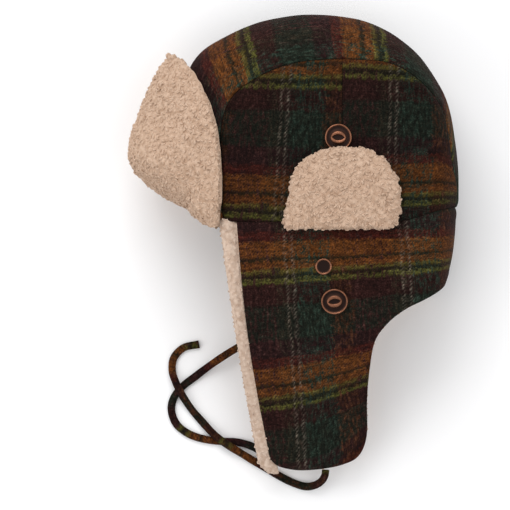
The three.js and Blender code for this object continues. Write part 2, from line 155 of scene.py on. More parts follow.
# a snap's rings, from its middle out and round to its underside: shares of the eye's, the
# lens's and the whole radius, height, how rubbed it is
SNAP_RINGS = (
    (0, 0, 0, 1.1, 0), (0.8, 0, 0, 1.0, 0), (0.97, 0, 0, 1.2, 0.1), (1.03, 0, 0, 2.1, 0.7),
    (0.75, 0.25, 0, 2.65, 1), (0.35, 0.65, 0, 2.75, 1), (0, 0.97, 0, 2.4, 0.7),
    (0, 1.03, 0, 1.5, 0.1), (0, 0, 0.70, 1.25, 0), (0, 0, 0.81, 1.3, 0), (0, 0, 0.86, 1.9, 0.4),
    (0, 0, 0.90, 2.6, 1), (0, 0, 0.945, 2.8, 1), (0, 0, 0.98, 2.4, 0.9), (0, 0, 1, 1.5, 0.5),
    (0, 0, 0.99, 0.7, 0.1), (0, 0, 0.95, 0, 0), (0, 0, 0, 0, 0),
)
STUD_RINGS = (
    (0, 0, 0, 1.0, 0), (0, 0, 0.6, 0.95, 0), (0, 0, 0.74, 1.0, 0.05), (0, 0, 0.78, 1.5, 0.7),
    (0, 0, 0.84, 1.95, 1), (0, 0, 0.92, 2.0, 1), (0, 0, 0.98, 1.6, 1), (0, 0, 1, 0.9, 0.5),
    (0, 0, 0.95, 0, 0), (0, 0, 0, 0, 0),
)


# ---- small mathematics -------------------------------------------------------------------


@dataclass(eq=False)
class SmoothTable:
    """A smooth curve through the rows of a table, whose first column is the rising key.

    Args:
        rows: the table.
    """

    rows: Rows

    def __post_init__(self) -> None:
        """Works out how fast each column changes at each row."""
        table = np.array(self.rows, float)
        self.keys, self.values = table[:, 0], table[:, 1:]
        between = np.diff(self.values, axis=0) / np.diff(self.keys)[:, None]
        inner = (between[:-1] + between[1:]) / 2
        self.slopes = np.vstack([between[:1], inner, between[-1:]])

    def at(self, where: Array) -> Array:
        """Reads the curve.

        Args:
            where: keys, in an array of any shape.

        Returns:
            One array of that shape for each column.
        """
        where = np.clip(np.asarray(where, float), self.keys[0], self.keys[-1])
        row = np.clip(np.searchsorted(self.keys, where, side="right") - 1, 0, len(self.keys) - 2)
        step = (self.keys[row + 1] - self.keys[row])[..., None]
        p = (where - self.keys[row])[..., None] / step
        leave, arrive = self.slopes[row] * step, self.slopes[row + 1] * step
        curve = (
            (2 * p**3 - 3 * p**2 + 1) * self.values[row]
            + (p**3 - 2 * p**2 + p) * leave
            + (3 * p**2 - 2 * p**3) * self.values[row + 1]
            + (p**3 - p**2) * arrive
        )
        return np.moveaxis(curve, -1, 0)


def smoothstep(value: Array, low: float, high: float) -> Array:
    """Rises smoothly from 0 at low to 1 at high."""
    part = np.clip((value - low) / (high - low), 0, 1)
    return part * part * (3 - 2 * part)


def noise(points: Array, size: float, seed: int) -> Array:
    """Smooth noise from -1 to 1.

    Args:
        points: places, with x, y and z in the last axis.
        size: distance over which the noise changes.
        seed: number of the pattern.

    Returns:
        The noise at each place.
    """
    scaled = points / size + seed * 7.31
    cell = np.floor(scaled).astype(np.int64)
    part = scaled - cell
    part = part * part * (3 - 2 * part)
    total = np.zeros(points.shape[:-1])
    for corner in itertools.product((0, 1), repeat=3):
        x, y, z = np.moveaxis(cell + np.array(corner), -1, 0)
        mixed = (x * 73856093) ^ (y * 19349663) ^ (z * 83492791) ^ (seed * 4256233)
        mixed = ((mixed ^ (mixed >> 13)) * 1274126177) & 0xFFFFFFFF
        value = ((mixed ^ (mixed >> 16)) & 0xFFFF) / 32767.5 - 1
        total += np.prod(np.where(np.array(corner) == 1, part, 1 - part), axis=-1) * value
    return total


def smooth_route(points: Rows, count: int, closed: bool = False) -> Array:
    """A centripetal curve through points, evenly in the points' own parameter.

    Args:
        points: the places that it runs through.
        count: how many places to give.
        closed: whether it runs back to its start.

    Returns:
        The places along it, one a row.
    """
    known = np.array(points, float)
    first, final = 2 * known[0] - known[1], 2 * known[-1] - known[-2]
    ring = np.vstack([known[-1:], known, known[:2]] if closed else [[first], known, [final]])
    last = len(known) if closed else len(known) - 1
    at = np.linspace(0, last, count, endpoint=not closed)
    index = np.minimum(at.astype(int), last - 1)
    p = (at - index)[:, None]
    a, b, c, d = (ring[index + i] for i in range(4))
    before, here, after = (np.sqrt(np.linalg.norm(end - start, axis=1))[:, None]
                           for start, end in ((a, b), (b, c), (c, d)))
    leave = ((b - a) / before - (c - a) / (before + here) + (c - b) / here) * here
    arrive = ((c - b) / here - (d - b) / (here + after) + (d - c) / after) * here
    return (
        b + leave * p + (3 * (c - b) - 2 * leave - arrive) * p**2
        + (2 * (b - c) + leave + arrive) * p**3
    )


def strides(points: Array, axis: int = 0) -> Array:
    """How far it is from each point of a grid to the next along an axis."""
    return np.linalg.norm(np.diff(points, axis=axis), axis=-1)


def summed(steps: Array) -> Array:
    """The running total of the last axis, from 0."""
    return np.concatenate([np.zeros((*steps.shape[:-1], 1)), np.cumsum(steps, axis=-1)], axis=-1)


def even_route(points: Array, count: int) -> Array:
    """Places spaced evenly along a line.

    Args:
        points: the line's places.
        count: how many places to give.

    Returns:
        The new places, one a row.
    """
    run = summed(strides(points))
    at = np.linspace(0, run[-1], count)
    return np.stack([np.interp(at, run, column) for column in points.T], axis=1)


# ---- the hat's surfaces ------------------------------------------------------------------


@dataclass(frozen=True)
class HatForm:
    """The pressed hat's outer surfaces, in millimetres.

    Args:
        middle: height of its middle plane.
        centre_x: where the crown's rays fan out from.
        dome: x, y, spans and rise of the soft bulge of the left side.
        cover_lift: x, y, spans and rise of the ground over the folded right cover.
        peak_lift: rise of the ground over the peak.
        rim_rise: how far the rim's seam rises at the back.
        rim_span: the height up and down over which that fades.
        rays: the crown's outline along its rays.
        droop: height of the left face down the hat.
    """

    middle: float = 55.0
    centre_x: float = 3.0
    dome: tuple[float, ...] = (2.0, 42.0, 105.0, 110.0, 4.0)
    cover_lift: tuple[float, ...] = (2.0, 28.0, 95.0, 85.0, 6.4)
    peak_lift: float = 12.5
    rim_rise: float = 12.0
    rim_span: float = 62.0
    rays: SmoothTable = SmoothTable(CROWN_RAYS)
    droop: SmoothTable = SmoothTable(DROOP)

    def left_height(self, x: Array, y: Array) -> Array:
        """Height of the left outer face.

        Args:
            x: places' x.
            y: their y.

        Returns:
            The height at each.
        """
        at_x, at_y, span_x, span_y, rise = self.dome
        bulge = 1 - ((x - at_x) / span_x) ** 2 - ((y - at_y) / span_y) ** 2
        return self.droop.at(y)[0] + rise * np.maximum(0, bulge)

    def right_height(self, x: Array, y: Array) -> Array:
        """Height of the right outer face, which the folded cover and the peak lift a little.

        Args:
            x: places' x.
            y: their y.

        Returns:
            The height at each.
        """
        at_x, at_y, span_x, span_y, rise = self.cover_lift
        over_cover = 1 - smoothstep(np.hypot((x - at_x) / span_x, (y - at_y) / span_y), 0.76, 1.25)
        over_peak = smoothstep(-x, 68, 92) * smoothstep(y, -70, 0)
        return np.maximum(rise * over_cover, self.peak_lift * over_peak)

    def height(self, x: Array, y: Array, turn: Array, depth: Array) -> Array:
        """Height of a point under the outer face.

        Args:
            x: its x.
            y: its y.
            turn: how far it is turned from the middle to the left (over 0) or the right, in
                radians.
            depth: how deep it lies.

        Returns:
            Its height.
        """
        face = np.where(turn < 0, self.right_height(x, y) + depth, self.left_height(x, y) - depth)
        return self.middle + (face - self.middle) * np.sin(np.abs(turn))

    def lifted(self, x: Array, y: Array) -> Array:
        """y with the rim's seam raised towards the back."""
        near = np.clip(1 - (y / self.rim_span) ** 2, 0, 1) ** 2
        return y + self.rim_rise * smoothstep(x, 45, 100) * near

    def from_rim(self, points: Array) -> Array:
        """Distance of points from the rim's seam."""
        x = points[..., 0]
        return np.abs(points[..., 1] - self.lifted(x, np.zeros(x.shape)))

    def round_point(self, angle: Array, turn: Array, depth: Array, foot: float = 0.0) -> Array:
        """A point of the crown's rounding.

        Args:
            angle: its ray, in degrees.
            turn: how far it is turned to the left (over 0) or the right, in degrees.
            depth: how deep it lies.
            foot: how far the whole crown is moved up from the rim.

        Returns:
            x, y and z in the last axis.
        """
        reach, _, flat = self.rays.at(angle)
        bend = np.radians(turn)
        distance = flat + (reach - flat - depth) * np.cos(bend)
        x = self.centre_x + distance * np.cos(np.radians(angle))
        y = distance * np.sin(np.radians(angle)) + foot
        return np.stack([x, self.lifted(x, y), self.height(x, y, bend, depth)], axis=-1)

    def seam_turn(self, angle: Array) -> Array:
        """How far round the seam of panel and gusset lies on a ray, in degrees."""
        reach, seam, flat = self.rays.at(angle)
        return np.degrees(np.arccos(np.clip((seam - flat) / (reach - flat), 0, 1)))


FORM = HatForm()


@dataclass(frozen=True)
class Stations:
    """Where a grid's lines run between two edges.

    Args:
        at: their places, from 0 to 1.
        full: from 0 at a rounded edge to 1 where the layer has its whole thickness.
    """

    at: Array
    full: Array

    @staticmethod
    def along(length: float, step: float, edge: float, round_start: bool = True) -> "Stations":
        """Lays the lines out, closer together at the rounded edges.

        Args:
            length: how far it is from edge to edge.
            step: distance between two lines.
            edge: width of the rounding.
            round_start: whether the first edge is rounded, as the last one is.

        Returns:
            The lines.
        """
        near = np.array([0, 0.1, 0.35, 0.7, 1.0]) * edge / length
        low, high = near if round_start else np.zeros(1), 1 - near[::-1]
        count = max(2, round((high[0] - low[-1]) * length / step))
        at = np.concatenate([low, np.linspace(low[-1], high[0], count + 1)[1:-1], high])
        away = (1 - at) * length / edge
        if round_start:
            away = np.minimum(at * length / edge, away)
        return Stations(at, np.sqrt(1 - (1 - np.clip(away, 0, 1)) ** 2))

    def across(self, other: "Stations") -> tuple[Array, Array, Array]:
        """The grid of these lines and others: both places, and how full the layer is."""
        u, v = np.meshgrid(self.at, other.at, indexing="ij")
        return u, v, np.minimum(self.full[:, None], other.full[None, :])


def faces_at(point: Callable[[Array], Array], top: Array, foot: Array, full: Array,
             relief: Array) -> Faces:
    """The two faces of a layer, which meet at its rounded edges.

    Args:
        point: gives the points at a depth.
        top: depth of its outer face.
        foot: depth of its inner face.
        full: how much of its thickness it has.
        relief: how far it stands proud.

    Returns:
        The outer and the inner points.
    """
    middle, half = (top + foot) / 2, (foot - top) / 2
    return point(middle - half * full - relief), point(middle + half * full - relief)


def seam_relief(away: Array) -> Array:
    """How far cloth stands proud at a distance from a seam: a valley, then a soft puff."""
    return 0.75 * np.exp(-(((away - 5) / 4.5) ** 2)) - 1.15 * np.exp(-away / 1.3)


def hem_relief(away: Array) -> Array:
    """How far cloth stands proud at a distance from a turned hem."""
    return 0.55 * np.exp(-(((away - 3.5) / 3.5) ** 2))


def soft_relief(points: Array) -> Array:
    """Broad soft waves of the cloth and the lining together."""
    return 0.9 * noise(points, 46, 1) + 0.45 * noise(points, 19, 2)


def pucker(points: Array, strength: float) -> Array:
    """How much stronger or weaker a seam's relief is where its stitches pull."""
    return 1 + strength * noise(points, 11, 4)


def on_cloth(across: Array, along: Array) -> Array:
    """Millimetres across and along the cloth, in the last axis, 40 repeats in from its corner."""
    return np.stack([across + WARP_REPEAT * 40, along + WEFT_REPEAT * 40], axis=-1)


# ---- meshes ------------------------------------------------------------------------------


def link(name: str, content: object) -> bpy.types.Object:
    """Makes an object at the origin.

    Args:
        name: its name.
        content: its mesh, camera or light.

    Returns:
        The object.
    """
    piece = bpy.data.objects.new(name, content)
    bpy.context.scene.collection.objects.link(piece)
    return piece


def evaluated(piece: bpy.types.Object) -> bpy.types.Mesh:
    """A plain mesh of a piece as its modifiers make it."""
    graph = bpy.context.evaluated_depsgraph_get()
    return bpy.data.meshes.new_from_object(piece.evaluated_get(graph))


def mesh_points(mesh: bpy.types.Mesh) -> Array:
    """Reads a mesh's points.

    Args:
        mesh: the mesh.

    Returns:
        x, y and z of each, one a row.
    """
    places = np.empty(3 * len(mesh.vertices))
    mesh.vertices.foreach_get("co", places)
    return places.reshape(-1, 3)


def grid_faces(rows: int, columns: int, closed: bool) -> Array:
    """The four corners of each cell of a grid.

    Args:
        rows: lines one way.
        columns: lines the other way.
        closed: whether the last row joins the first.

    Returns:
        One row of four numbers for each cell.
    """
    i, j = np.meshgrid(np.arange(rows if closed else rows - 1), np.arange(columns - 1),
                       indexing="ij")
    here, after = i.ravel() * columns + j.ravel(), (i.ravel() + 1) % rows * columns + j.ravel()
    return np.stack([here, after, after + 1, here + 1], axis=1)


def solid(name: str, points: Array, faces: Array, plaid: Array | None = None,
          turn_out: bool = False, **weights: Array) -> bpy.types.Object:
    """Makes a closed, smoothly shaded piece.

    Args:
        name: its name.
        points: its points in millimetres, doubled where its edges meet.
        faces: the four corners of each face.
        plaid: millimetres across and along the cloth at each corner.
        turn_out: whether its faces have yet to be turned out.
        weights: named values at its points.

    Returns:
        The piece.
    """
    mesh = bpy.data.meshes.new(name)
    mesh.from_pydata((points * MM).tolist(), [], faces.tolist())
    if plaid is not None:
        mesh.uv_layers.new(name="plaid").data.foreach_set("uv", (plaid / MAP_UNIT).ravel())
    for key, values in weights.items():
        mesh.attributes.new(key, "FLOAT", "POINT").data.foreach_set("value", values)
    shape = bmesh.new()
    shape.from_mesh(mesh)
    bmesh.ops.remove_doubles(shape, verts=shape.verts, dist=WELD)
    if turn_out:
        bmesh.ops.recalc_face_normals(shape, faces=shape.faces)
    shape.to_mesh(mesh)
    shape.free()
    mesh.polygons.foreach_set("use_smooth", [True] * len(mesh.polygons))
    return link(name, mesh)


def layer(name: str, faces: Faces, closed: bool = False, plaid: Array | None = None,
          pile: tuple[Array, Array] | None = None) -> bpy.types.Object:
    """A closed layer between two grids whose edges meet.

    Args:
        name: the piece's name.
        faces: the outer and the inner points in millimetres.
        closed: whether the grids run all the way round.
        plaid: millimetres across and along the cloth at each point.
        pile: how much pile grows at each point of the outer and the inner face.

    Returns:
        The piece, with its faces pointing out.
    """
    rows, columns = faces[0].shape[:2]
    points = np.concatenate([face.reshape(-1, 3) for face in faces])
    points[:, 2] = np.maximum(points[:, 2], LOWEST)
    quads = grid_faces(rows, columns, closed)
    cells = np.concatenate([quads, quads[:, ::-1] + rows * columns])
    a, b, c, d = (points[cells[:, i]] for i in range(4))
    if np.sum(np.cross(c - a, d - b) * (a + b + c + d)) < 0:
        cells = cells[:, ::-1]
    corners = None if plaid is None else np.tile(plaid.reshape(-1, 2), (2, 1))[cells.ravel()]
    weights = {} if pile is None else {"pile": np.concatenate([part.ravel() for part in pile])}
    return solid(name, points, cells, corners, **weights)


# ---- node trees --------------------------------------------------------------------------


@dataclass
class Graph:
    """Adds nodes to a tree and joins them.

    Args:
        tree: the node tree.
    """

    tree: bpy.types.NodeTree

    def fill(self, node: bpy.types.Node, inputs: dict) -> bpy.types.Node:
        """Fills a node's sockets.

        Args:
            node: the node.
            inputs: a value or another node's socket for each name or number.

        Returns:
            The node.
        """
        for socket, value in inputs.items():
            if isinstance(value, Socket):
                self.tree.links.new(value, node.inputs[socket])
            else:
                node.inputs[socket].default_value = value
        return node

    def node(self, kind: str, inputs: dict | None = None, **settings: object) -> bpy.types.Node:
        """Adds a node.

        Args:
            kind: its type's name.
            inputs: what each of its sockets gets.
            settings: its properties.

        Returns:
            The node.
        """
        added = self.tree.nodes.new(kind)
        for name, value in settings.items():
            setattr(added, name, value)
        return self.fill(added, inputs or {})

    def math(self, operation: str, first: object, second: object = 0.0, third: object = 0.0,
             clamp: bool = False) -> Socket:
        """Adds a calculation and gives its result."""
        inputs = {0: first, 1: second, 2: third}
        return self.node("ShaderNodeMath", inputs, operation=operation, use_clamp=clamp).outputs[0]

    def mix(self, part: object, first: object, second: object, blend: str = "MIX") -> Socket:
        """Adds a mix of two colours and gives its result."""
        inputs = {0: part, 6: first, 7: second}
        return self.node("ShaderNodeMix", inputs, data_type="RGBA", blend_type=blend).outputs[2]

    def ramp(self, part: Socket, stops: Sequence[tuple[float, tuple]]) -> Socket:
        """Adds a colour ramp.

        Args:
            part: what it reads.
            stops: place and colour of each stop.

        Returns:
            The colour socket.
        """
        added = self.node("ShaderNodeValToRGB", {0: part})
        elements = added.color_ramp.elements
        for index, (place, colour) in enumerate(stops):
            if index < 2:
                elements[index].position = place
            else:
                elements.new(place)
            elements[index].color = colour
        return added.outputs[0]

    def texture(self, kind: str, where: Socket, scale: float, detail: float = 2.0,
                **settings: object) -> bpy.types.Node:
        """Adds a texture that is read at a place."""
        inputs = {"Vector": where, "Scale": scale, "Detail": detail}
        return self.node("ShaderNodeTex" + kind, inputs, **settings)

    def speckle(self, where: Socket, scale: float, detail: float) -> Socket:
        """Adds noise that is read at a place, and gives its value."""
        return self.texture("Noise", where, scale, detail).outputs["Fac"]

    def bump(self, height: Socket, strength: float, distance: float) -> Socket:
        """Adds a bump as deep as a distance in metres, and gives its normal."""
        inputs = {"Height": height, "Strength": strength, "Distance": distance}
        return self.node("ShaderNodeBump", inputs).outputs[0]

    def place(self) -> Socket:
        """Adds the piece's own coordinates."""
        return self.node("ShaderNodeTexCoord").outputs["Object"]

    def attribute(self, name: str) -> Socket:
        """Adds the value of a piece's attribute."""
        return self.node("ShaderNodeAttribute", attribute_name=name).outputs["Fac"]


def linear(red: float, green: float, blue: float) -> tuple[float, float, float, float]:
    """The linear colour that shaders take.

    Args:
        red: from 0 to 255, as on a screen.
        green: the same.
        blue: the same.

    Returns:
        The four parts of the colour.
    """
    parts = [value / 255 for value in (red, green, blue)]
    made = [p / 12.92 if p <= 0.04045 else ((p + 0.055) / 1.055) ** 2.4 for p in parts]
    return (made[0], made[1], made[2], 1.0)


# ---- finishes ----------------------------------------------------------------------------


class Finish:
    """A material that is built from nodes."""

    def make(self, name: str) -> bpy.types.Material:
        """Builds the material.

        Args:
            name: its name.

        Returns:
            The material.
        """
        material = bpy.data.materials.new(name)
        material.use_nodes = True
        g = Graph(material.node_tree)
        g.fill(material.node_tree.nodes["Principled BSDF"], self.sockets(g))
        return material

    def sockets(self, _: Graph) -> dict[str, object]:
        """What each socket of the shader gets, in a plain material."""
        return {}


@dataclass(frozen=True)
class PlaidWool(Finish):
    """Brushed wool twill in a dark plaid, laid out on the piece's "plaid" map.

    Args:
        warp: stripes of the threads that run down the cloth: where each starts in the repeat,
            in millimetres, and its colour.
        weft: stripes of the threads that run across it.
        twin: distance of each pale twin line from the start of the repeat.
        twin_width: half the width of a twin line.
        twin_strength: how far the twin lines show.
        pale: colour of the twin lines and of the loose hairs.
        twill: distance between two ribs of the twill.
        slope: how steeply the ribs run.
        soften: how far the brushed edge of a stripe spreads.
        ragged: how far the threads' hairs carry a stripe over its edge.
        shown: how much of the surface the weft takes.
        haze: how far pale hairs grey it.
        tone: brightness of the whole cloth; the crown's and the gusset's own tones are painted
            shade and light.
    """

    warp: tuple[tuple[float, Colour], ...] = (
        (0, (37, 29, 24)), (5, (27, 43, 35)), (33, (60, 32, 16)), (51, (42, 18, 17)),
        (84, (34, 28, 19)),
    )
    weft: tuple[tuple[float, Colour], ...] = (
        (0, (38, 34, 20)), (2.3, (94, 92, 42)), (6.0, (48, 25, 22)), (24, (33, 37, 29)),
        (54, (46, 26, 26)), (69, (76, 31, 24)), (77.4, (114, 66, 28)), (91.8, (50, 38, 20)),
        (95.2, (114, 66, 28)), (102.1, (100, 88, 40)), (105.6, (38, 34, 20)),
    )
    twin: float = 2.9
    twin_width: float = 2.1
    twin_strength: float = 0.2
    pale: Colour = (172, 156, 140)
    twill: float = 3.1
    slope: float = 1.1
    soften: float = 1.0
    ragged: float = 6.5
    shown: float = 0.6
    haze: float = 0.04
    tone: float = 0.6

    def stripe(self, g: Graph, place: Socket, away: Socket,
               bands: Sequence[tuple[float, Colour]], repeat: float) -> Socket:
        """The colour of the threads of one direction.

        Args:
            g: the material's graph.
            place: millimetres along the repeat.
            away: how far the brushed hairs are carried.
            bands: the stripes.
            repeat: length of the repeat.

        Returns:
            The colour socket.
        """
        stops = [(0.0, linear(*bands[0][1]))]
        for (_, before), (start, after) in zip(bands, bands[1:]):
            stops.append(((start - self.soften) / repeat, linear(*before)))
            stops.append(((start + self.soften) / repeat, linear(*after)))
        stops.append((1.0, linear(*bands[-1][1])))
        return g.ramp(g.math("FRACT", g.math("DIVIDE", g.math("ADD", place, away), repeat)), stops)

    def fibres(self, g: Graph, across: Socket, along: Socket, wide: float, long: float,
               seed: float) -> Socket:
        """Noise drawn out along the threads.

        Args:
            g: the material's graph.
            across: millimetres across the cloth.
            along: millimetres down it.
            wide: size of a fibre across the cloth.
            long: its size down the cloth.
            seed: number of the pattern.

        Returns:
            A value round 0, mostly within a half of it.
        """
        place = g.node("ShaderNodeCombineXYZ", {0: g.math("DIVIDE", across, wide),
                       1: g.math("DIVIDE", along, long), 2: seed}).outputs[0]
        return g.math("MULTIPLY_ADD", g.speckle(place, 1.0, 3.0), 2.0, -1.0)

    def ribs(self, g: Graph, across: Socket, along: Socket, apart: float) -> Socket:
        """A wave from -1 to 1 over the twill's slanting ribs, a distance apart."""
        slant = g.math("MULTIPLY_ADD", across, self.slope, along)
        return g.math("SINE", g.math("MULTIPLY", slant, 2 * math.pi / apart))

    def twins(self, g: Graph, across: Socket, along: Socket, hair: Socket) -> Socket:
        """How far the pale dashes of the two twin lines show.

        Args:
            g: the material's graph.
            across: millimetres across the cloth.
            along: millimetres down it.
            hair: noise that breaks the dashes up.

        Returns:
            From 0 to the lines' strength.
        """
        centred = g.math("PINGPONG", across, WARP_REPEAT / 2)
        off = g.math("ABSOLUTE", g.math("SUBTRACT", centred, self.twin))
        line = g.math("SUBTRACT", 1.0, g.math("DIVIDE", off, self.twin_width), clamp=True)
        dash = self.ribs(g, across, along, 1.15 * self.twill)
        dash = g.math("MULTIPLY_ADD", dash, 0.6, 0.45)
        broken = g.math("MULTIPLY_ADD", hair, 1.6, dash, clamp=True)
        return g.math("MULTIPLY", g.math("MULTIPLY", line, broken), self.twin_strength)

    def sockets(self, g: Graph) -> dict[str, object]:
        """Adds the nodes.

        Args:
            g: the material's graph.

        Returns:
            What each socket of the shader gets.
        """
        split = g.node("ShaderNodeSeparateXYZ", {
            0: g.node("ShaderNodeUVMap", uv_map="plaid").outputs[0]}).outputs
        straight = [g.math("MULTIPLY", split[axis], MAP_UNIT) for axis in (0, 1)]
        sway = g.math("MULTIPLY", self.fibres(g, *straight, 26, 26, 1), 2.6)
        across, along = (g.math("ADD", place, sway) for place in straight)
        down_hair, cross_hair, fleck, fine, cloud = (
            self.fibres(g, across, along, wide, long, seed)
            for wide, long, seed in ((2.1, 9.0, 2), (8.0, 2.0, 3), (3.0, 3.0, 4), (1.3, 1.3, 5),
                                     (17, 17, 6)))
        carried = g.math("MULTIPLY", g.math("ADD", fleck, cross_hair), self.ragged)
        warp = self.stripe(g, across, carried, self.warp, WARP_REPEAT)
        carried = g.math("MULTIPLY", g.math("ADD", fleck, down_hair), self.ragged / 2)
        weft = self.stripe(g, along, carried, self.weft, WEFT_REPEAT)
        ribs = self.ribs(g, across, along, self.twill)
        cover = g.math("MULTIPLY_ADD", ribs, 0.16, self.shown)
        cover = g.math("MULTIPLY_ADD", cross_hair, 0.8, cover)
        cover = g.math("MULTIPLY_ADD", down_hair, -1.8, cover, clamp=True)
        haze = g.math("MULTIPLY", g.math("ADD", down_hair, fine, clamp=True), self.haze)
        paled = g.math("ADD", self.twins(g, across, along, fleck), haze, clamp=True)
        lined = g.mix(paled, g.mix(cover, warp, weft), linear(*self.pale))
        power = g.math("MULTIPLY", down_hair, 2.0)
        for hair, share in ((cross_hair, 0.6), (fleck, 1.8), (fine, 1.8), (cloud, 0.9)):
            power = g.math("MULTIPLY_ADD", hair, share, power)
        tone = g.math("MULTIPLY", g.math("POWER", 2.0, power), self.tone)
        grey = g.node("ShaderNodeCombineColor", {0: tone, 1: tone, 2: tone}).outputs[0]
        relief = g.math("MULTIPLY_ADD", ribs, 0.16, g.math("MULTIPLY_ADD", fine, 0.9, fleck))
        return {
            "Base Color": g.mix(1.0, lined, grey, "MULTIPLY"), "Roughness": 0.95,
            "Specular IOR Level": 0.08, "Sheen Weight": 0.02, "Sheen Roughness": 0.6,
            "Sheen Tint": linear(190, 160, 140), "Normal": g.bump(relief, 0.8, 0.0006),
        }


@dataclass(frozen=True)
class Sherpa(Finish):
    """Curly pile, with painted shade in the creases between its lumps and painted light on the
    curls' tops.

    Args:
        tip: colour of the curls' tops and the lumps' middles, where light is painted.
        gap: colour down between them, painted shade.
        warm: a slightly warmer colour that drifts in.
        curl: distance over which the fibres' shading changes, in millimetres.
    """

    tip: Colour = (200, 174, 153)
    gap: Colour = (160, 131, 109)
    warm: Colour = (188, 158, 135)
    curl: float = 3.2

    def sockets(self, g: Graph) -> dict[str, object]:
        """Adds the nodes.

        Args:
            g: the material's graph.

        Returns:
            What each socket of the shader gets.
        """
        place, height = g.place(), g.attribute("curl_top_light")
        bend = g.texture("Noise", place, 420, 2).outputs["Color"]
        bent = g.node("ShaderNodeVectorMath", {0: bend, 1: (0.0045,) * 3, 2: place},
                      operation="MULTIPLY_ADD").outputs[0]
        cells = g.texture("Voronoi", bent, 1000 / self.curl, 0, feature="SMOOTH_F1")
        # painted shade: the colour darkens to the gap colour at the cells' edges, as in creases,
        # and the curls' height lightens it as painted light
        lumps = g.math("SUBTRACT", 1.0, cells.outputs["Distance"], clamp=True)
        part = g.math("MULTIPLY_ADD", lumps, 1.8, -0.5)
        part = g.math("MULTIPLY_ADD", height, 0.25, part, clamp=True)
        colour = g.mix(part, linear(*self.gap), linear(*self.tip))
        drift = g.math("MULTIPLY", g.speckle(place, 38, 2), 0.6)
        fine = g.math("MULTIPLY", g.speckle(place, 1500, 3), 0.6)
        relief = g.math("MULTIPLY_ADD", lumps, 2.5, fine)
        return {
            "Base Color": g.mix(drift, colour, linear(*self.warm)), "Roughness": 0.95,
            "Specular IOR Level": 0.1, "Sheen Weight": 0.12, "Sheen Roughness": 0.5,
            "Sheen Tint": linear(255, 240, 225), "Normal": g.bump(relief, 0.45, 0.0008),
        }


@dataclass(frozen=True)
class AntiqueCopper(Finish):
    """Copper that is bright on its rims and dark in its grooves.

    Args:
        bright: colour of the rubbed metal.
        dark: colour in the grooves.
    """

    bright: Colour = (146, 98, 74)
    dark: Colour = (40, 27, 24)

    def sockets(self, g: Graph) -> dict[str, object]:
        """Adds the nodes.

        Args:
            g: the material's graph.

        Returns:
            What each socket of the shader gets.
        """
        place, rubbed = g.place(), g.attribute("rubbed")
        patches = g.math("MULTIPLY_ADD", g.speckle(place, 210, 5), 3.0, -0.7, clamp=True)
        worn = g.math("MULTIPLY", rubbed, patches)
        part = g.math("MULTIPLY_ADD", rubbed, 0.3, g.math("MULTIPLY", worn, 0.7), clamp=True)
        return {
            "Base Color": g.mix(part, linear(*self.dark), linear(*self.bright)),
            "Roughness": g.math("MULTIPLY_ADD", part, -0.3, 0.62), "Metallic": 0.9,
            "Normal": g.bump(g.speckle(place, 2600, 2), 0.2, 0.0001),
        }


@dataclass(frozen=True)
class Paper(Finish):
    """The plain pale floor.

    Args:
        shade: its colour.
        mottle: the colour that drifts in.
    """

    shade: Colour = (244, 244, 245)
    mottle: Colour = (225, 225, 227)

    def sockets(self, g: Graph) -> dict[str, object]:
        """Adds the nodes.

        Args:
            g: the material's graph.

        Returns:
            What each socket of the shader gets.
        """
        drift = g.math("MULTIPLY", g.speckle(g.place(), 6, 2), 0.04)
        return {"Base Color": g.mix(drift, linear(*self.shade), linear(*self.mottle)),
                "Roughness": 0.9, "Specular IOR Level": 0.1}


# ---- pile --------------------------------------------------------------------------------


